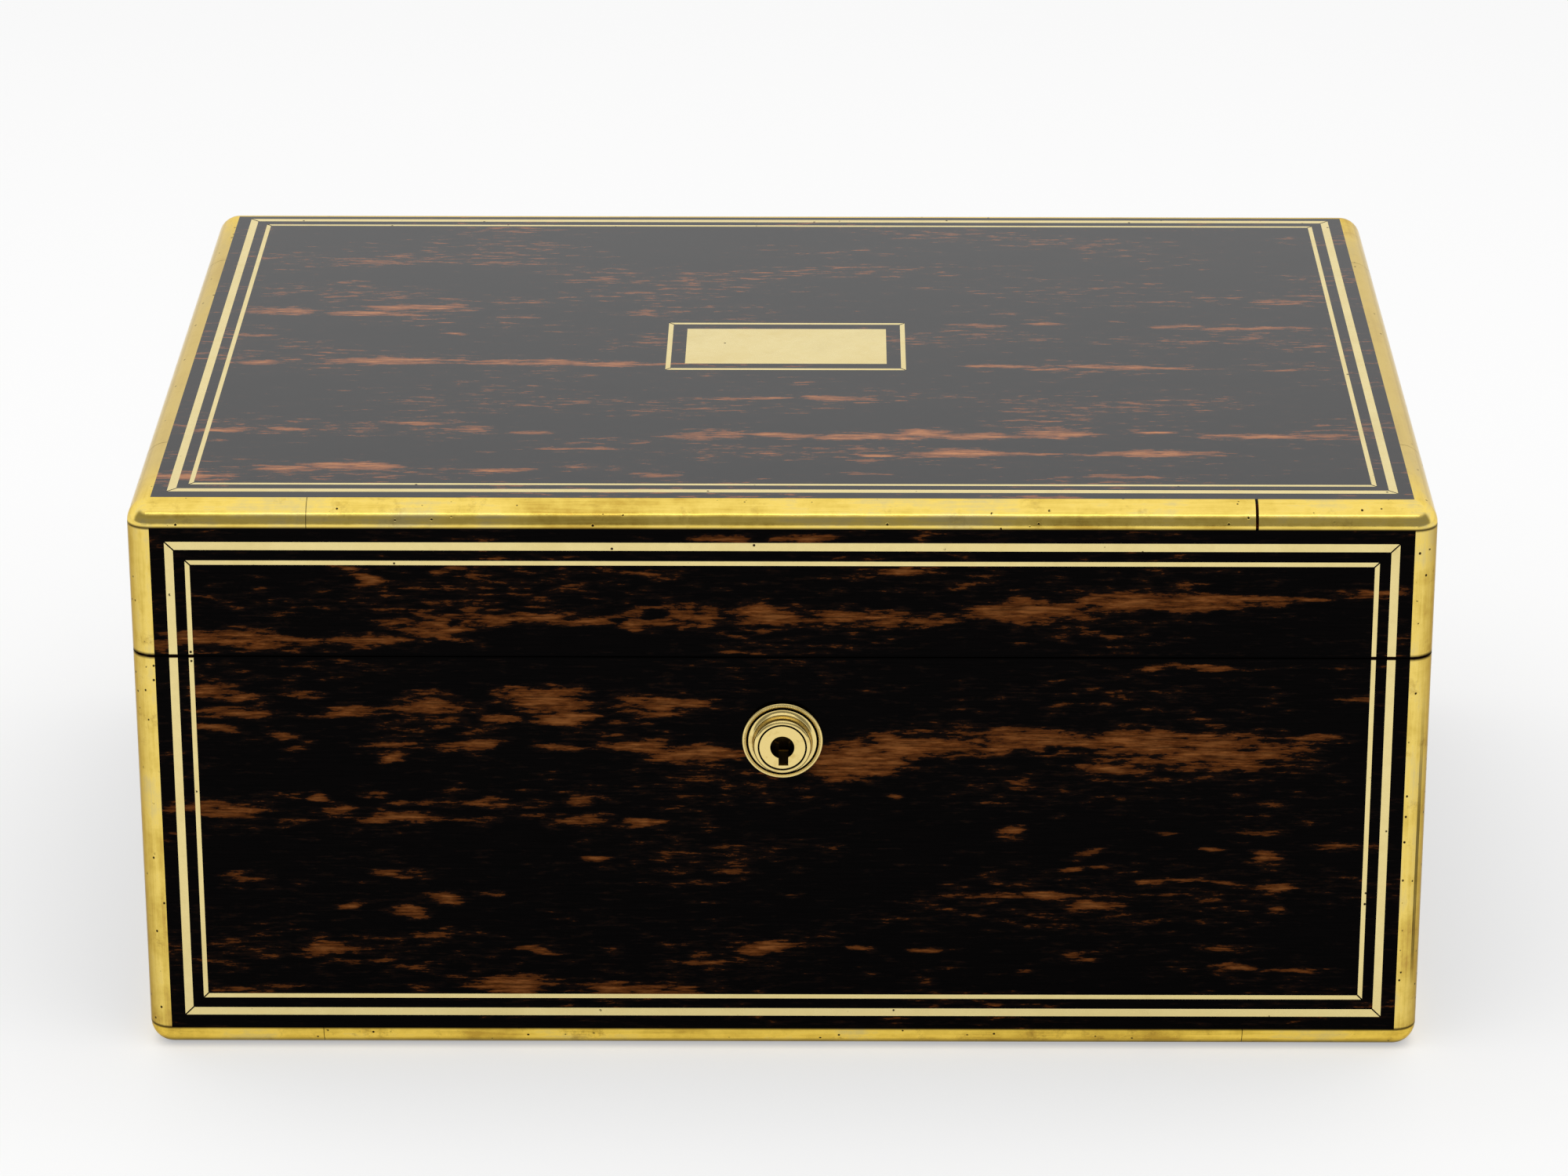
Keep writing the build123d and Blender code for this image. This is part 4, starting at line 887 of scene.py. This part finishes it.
def settle(piece):
    """Applies the piece's modifiers to its mesh."""
    scene.view_layers[0].update()
    graph = bpy.context.evaluated_depsgraph_get()
    mesh = bpy.data.meshes.new_from_object(piece.evaluated_get(graph))
    piece.modifiers.clear()
    piece.data = mesh


def read_points(mesh):
    """The mesh's points as an array."""
    points = np.empty(len(mesh.vertices) * 3, dtype=np.float32)
    mesh.vertices.foreach_get("co", points)
    return points.reshape(-1, 3).astype(float)


def write_points(mesh, points):
    """Moves the mesh's points to an array."""
    mesh.vertices.foreach_set("co", points.astype(np.float32).ravel())
    mesh.update()


def stuffed(name, low, high, cell, reach, finish, down=True):
    """A stuffed pad, which lies on its card, or hangs from it if not down. Its block is remeshed into
    even cells and blown up by Blender's cloth with the glued side held, and no point moves further
    than the reach."""
    shape = bmesh.new()
    size = high - low
    place = Matrix.Translation((low + high) / 2) @ Matrix.Diagonal((*size, 1.0))
    bmesh.ops.create_cube(shape, size=1.0, matrix=place)
    mesh = bpy.data.meshes.new(name)
    shape.to_mesh(mesh)
    shape.free()
    piece = bpy.data.objects.new(name, mesh)
    scene.collection.objects.link(piece)
    even = piece.modifiers.new("even_cells", "REMESH")
    even.mode = "VOXEL"
    even.voxel_size = cell
    settle(piece)
    start = read_points(piece.data)
    from_card = start[:, 2] - low.z if down else high.z - start[:, 2]
    glued_share = 0.35
    held = piece.vertex_groups.new(name="glued")
    held.add(np.flatnonzero(from_card < glued_share * size.z).tolist(), 1.0, "REPLACE")
    cloth = piece.modifiers.new("wadding", "CLOTH")
    cloth.settings.use_pressure = True
    cloth.settings.uniform_pressure_force = 4.0
    cloth.settings.vertex_group_mass = "glued"
    cloth.settings.effector_weights.gravity = 0.0
    steps = 20
    cloth.point_cache.frame_end = steps
    for step in range(1, steps + 1):
        scene.frame_set(step)
    settle(piece)
    scene.frame_set(1)
    moved = read_points(piece.data) - start
    length = np.linalg.norm(moved, axis=1, keepdims=True)
    # The travel t is eased to t / (1 + t / reach), so that the crown stays round.
    write_points(piece.data, start + moved / (1 + length / reach))
    finer = piece.modifiers.new("finer", "SUBSURF")
    finer.levels = finer.render_levels = 1
    settle(piece)
    piece.data.shade_smooth()
    piece.data.materials.clear()
    piece.data.materials.append(finish)
    return piece


low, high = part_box("case_floor_pad")
crown = 1.0 * mm
inset = Vector((1.0, 1.0, 0.0)) * mm
floor_pad = stuffed(
    "floor_pad_velvet", low + inset, high - inset - Vector((0, 0, crown)),
    cell=3.0 * mm, reach=crown, finish=lining_velvet,
)
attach(floor_pad, "case")
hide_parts("case_floor_pad")

# The tray's pads: cards in wadding and velvet like the floor's, one in each bay that holds no
# rings. The bays lie in two rows of three, and the front middle one is left out.

low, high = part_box("tray_pads")
divider_x = 70.0 * mm
divider_y = 5.0 * mm
half_divider = 1.5 * mm
columns = (
    (low.x, -divider_x - half_divider),
    (-divider_x + half_divider, divider_x - half_divider),
    (divider_x + half_divider, high.x),
)
rows = ((low.y, divider_y - half_divider), (divider_y + half_divider, high.y))
bays = [(column, row) for row in rows for column in columns]
del bays[1]
inset = Vector((0.7, 0.7, 0.0)) * mm
for number, ((left, right), (near, far)) in enumerate(bays, start=1):
    pad = stuffed(
        f"tray_pad_velvet_{number}",
        Vector((left, near, low.z)) + inset,
        Vector((right, far, high.z - crown)) - inset,
        cell=1.6 * mm, reach=crown, finish=lining_velvet,
    )
    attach(pad, "tray")
    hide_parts("tray_pads")

# The ring rolls: eight sticks of wadding rolled in velvet and glued side by side in the front
# middle bay. Rings are pushed into the slits between them.

low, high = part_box("tray_ring_rolls")
roll_count = 8
roll_gap = 0.8 * mm
pitch = (high.y - low.y + roll_gap) / roll_count
roll_radius = (pitch - roll_gap) / 2
half_length = (high.x - low.x) / 2
shoulder = high.z - roll_radius
foot_radius = 1.5 * mm
# The cross-section: a half circle over straight sides, whose bottom corners are rounded off.
section = np.concatenate([
    arc((0.0, shoulder), roll_radius, 0, 180, 25),
    arc((-roll_radius + foot_radius, low.z + foot_radius), foot_radius, 180, 270, 7),
    arc((roll_radius - foot_radius, low.z + foot_radius), foot_radius, 270, 360, 7),
])
heart = np.array([0.0, (low.z + high.z) / 2])
# Along the roll the section shrinks as (1 - |t|^12)^(1/3), which closes its ends in a soft round.
t = np.sin(np.linspace(-math.pi / 2, math.pi / 2, 120))
shrink = np.clip(1 - np.abs(t) ** 12, 0, 1) ** (1 / 3)
for number in range(roll_count):
    middle = low.y + roll_radius + pitch * number
    # The velvet is a little slack: it wanders by a quarter of a millimetre along the roll.
    slack = 1 - 0.02 * (1 + np.sin(t * 23 + 2.1 * number) * np.sin(t * 7 + number))
    scaled = heart + (section - heart)[None, :, :] * (shrink * slack)[:, None, None]
    along = np.repeat(((low.x + high.x) / 2 + half_length * t)[:, None], len(section), axis=1)
    points = np.stack([along, middle + scaled[:, :, 0], scaled[:, :, 1]], axis=-1)
    roll = grid_mesh(f"ring_roll_velvet_{number + 1}", points, lining_velvet)
    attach(roll, "tray")
    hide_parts("tray_ring_rolls")

# The panel in the lid: a card with wadding under blue satin, quilted in diamonds, behind a frame
# of blue leather that is tooled with a gilt line.


def satin(name):
    """Silk satin: fine threads along X, which stretch the shine across them."""
    made, tree, shader = material(name)
    place = millimetres(tree, "X", "Y")
    cloud = node(tree, "TexNoise", {0: place, "Scale": 1 / 30, "Detail": 4.0})
    colour = node(
        tree, "ValToRGB", {0: cloud},
        stops=[(0.30, "#202C6C"), (0.50, "#243278"), (0.70, "#283782")],
    )
    # At 0.2 mm the threads are some three times as thick as silk's, so that they show.
    thin = node(tree, "Mapping", {0: place, "Scale": (1 / 6, 1 / 0.2, 1)})
    thread = node(tree, "TexNoise", {0: thin, "Scale": 1.0, "Detail": 2.0})
    fill(tree, shader, {
        "Base Color": colour,
        "Roughness": node(tree, "MapRange", {0: thread, 3: 0.3, 4: 0.5}),
        "Sheen Weight": 0.3,
        "Sheen Roughness": 0.3,
        "Normal": node(tree, "Bump", {"Height": thread, "Strength": 0.25, "Distance": 0.1 * mm}),
    })
    return made


low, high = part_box("lid_pad")
inset = Vector((0.4, 0.4, 0.0)) * mm
quilt_reach = 3.2 * mm
panel = stuffed(
    "lid_panel_satin", low + inset + Vector((0, 0, quilt_reach)), high - inset,
    cell=3.0 * mm, reach=quilt_reach, finish=satin("lid_satin_blue"), down=False,
)
# The quilting: seams where x / 41 mm + y / 40 mm or x / 41 mm - y / 40 mm is a whole number. Each
# is a valley exp(-(d / 0.07)^2) deep, d being the rest, and is deeper where two of them cross.
points = read_points(panel.data)
diamond_x = 41.0 * mm
diamond_y = 40.0 * mm
seam_spread = 0.07
seam_depth = 1.3 * mm
button_depth = 0.9 * mm
seams = []
for slope in (1, -1):
    count = points[:, 0] / diamond_x + slope * points[:, 1] / diamond_y
    seams.append(np.exp(-(((count - np.round(count)) / seam_spread) ** 2)))
face = np.clip((high.z - points[:, 2]) / (high.z - low.z), 0, 1)
points[:, 2] += (seam_depth * np.maximum(*seams) + button_depth * seams[0] * seams[1]) * face
write_points(panel.data, points)
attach(panel, "lid")
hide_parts("lid_pad")

# The leather: a frame of blue goatskin on card, mitred and glued round the lid's panel, and a
# sheet of dark goatskin glued under the box.


def leather(name, shades, gilt=False):
    """Goatskin: cells of grain about 0.8 mm across with fine creases between them."""
    made, tree, shader = material(name)
    place = millimetres(tree, "X", "Y")
    cloud = node(tree, "TexNoise", {0: place, "Scale": 1 / 20, "Detail": 4.0})
    colour = node(tree, "ValToRGB", {0: cloud}, stops=shades)
    grain = node(tree, "TexVoronoi", {0: place, "Scale": 1 / 0.8}, feature="DISTANCE_TO_EDGE")
    crease = node(tree, "MapRange", {0: grain, 1: 0.0, 2: 0.25, 3: 0.0, 4: 1.0})
    values = {
        "Base Color": colour,
        "Roughness": node(tree, "MapRange", {0: crease, 3: 0.6, 4: 0.4}),
        "Normal": node(tree, "Bump", {"Height": crease, "Strength": 0.4, "Distance": 0.12 * mm}),
    }
    if gilt:
        # A gilt fillet 0.8 mm wide runs round the frame, 10 mm inside its outer edge.
        margin = 10
        half_width = 0.4
        frame_low, frame_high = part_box("lid_lining_frame")
        half = (frame_high - frame_low) / 2 / mm
        fillet = (half.x - margin, half.y - margin, 0)
        past = node(tree, "VectorMath", {0: place}, operation="ABSOLUTE")
        past = node(tree, "VectorMath", {0: past, 1: fillet}, operation="SUBTRACT")
        past = node(tree, "SeparateXYZ", {0: past})
        edge = node(tree, "Math", {0: past.outputs["X"], 1: past.outputs["Y"]}, operation="MAXIMUM")
        line = node(tree, "Math", {0: edge, 1: 0.0, 2: half_width}, operation="COMPARE")
        mixed = node(tree, "Mix", {0: line, 6: colour, 7: linear("#D8B45A")}, data_type="RGBA")
        values["Base Color"] = mixed.outputs[2]
        values["Metallic"] = line
    fill(tree, shader, values)
    return made


blue_shades = [(0.3, "#101838"), (0.5, "#172250"), (0.7, "#1D2A5C")]
dark_shades = [(0.3, "#16100C"), (0.5, "#241A13"), (0.7, "#2E2118")]
finish_with(leather("frame_leather_blue_gilt", blue_shades, gilt=True), "lid_lining_frame")
finish_with(leather("base_leather_dark", dark_shades), "underside_leather")
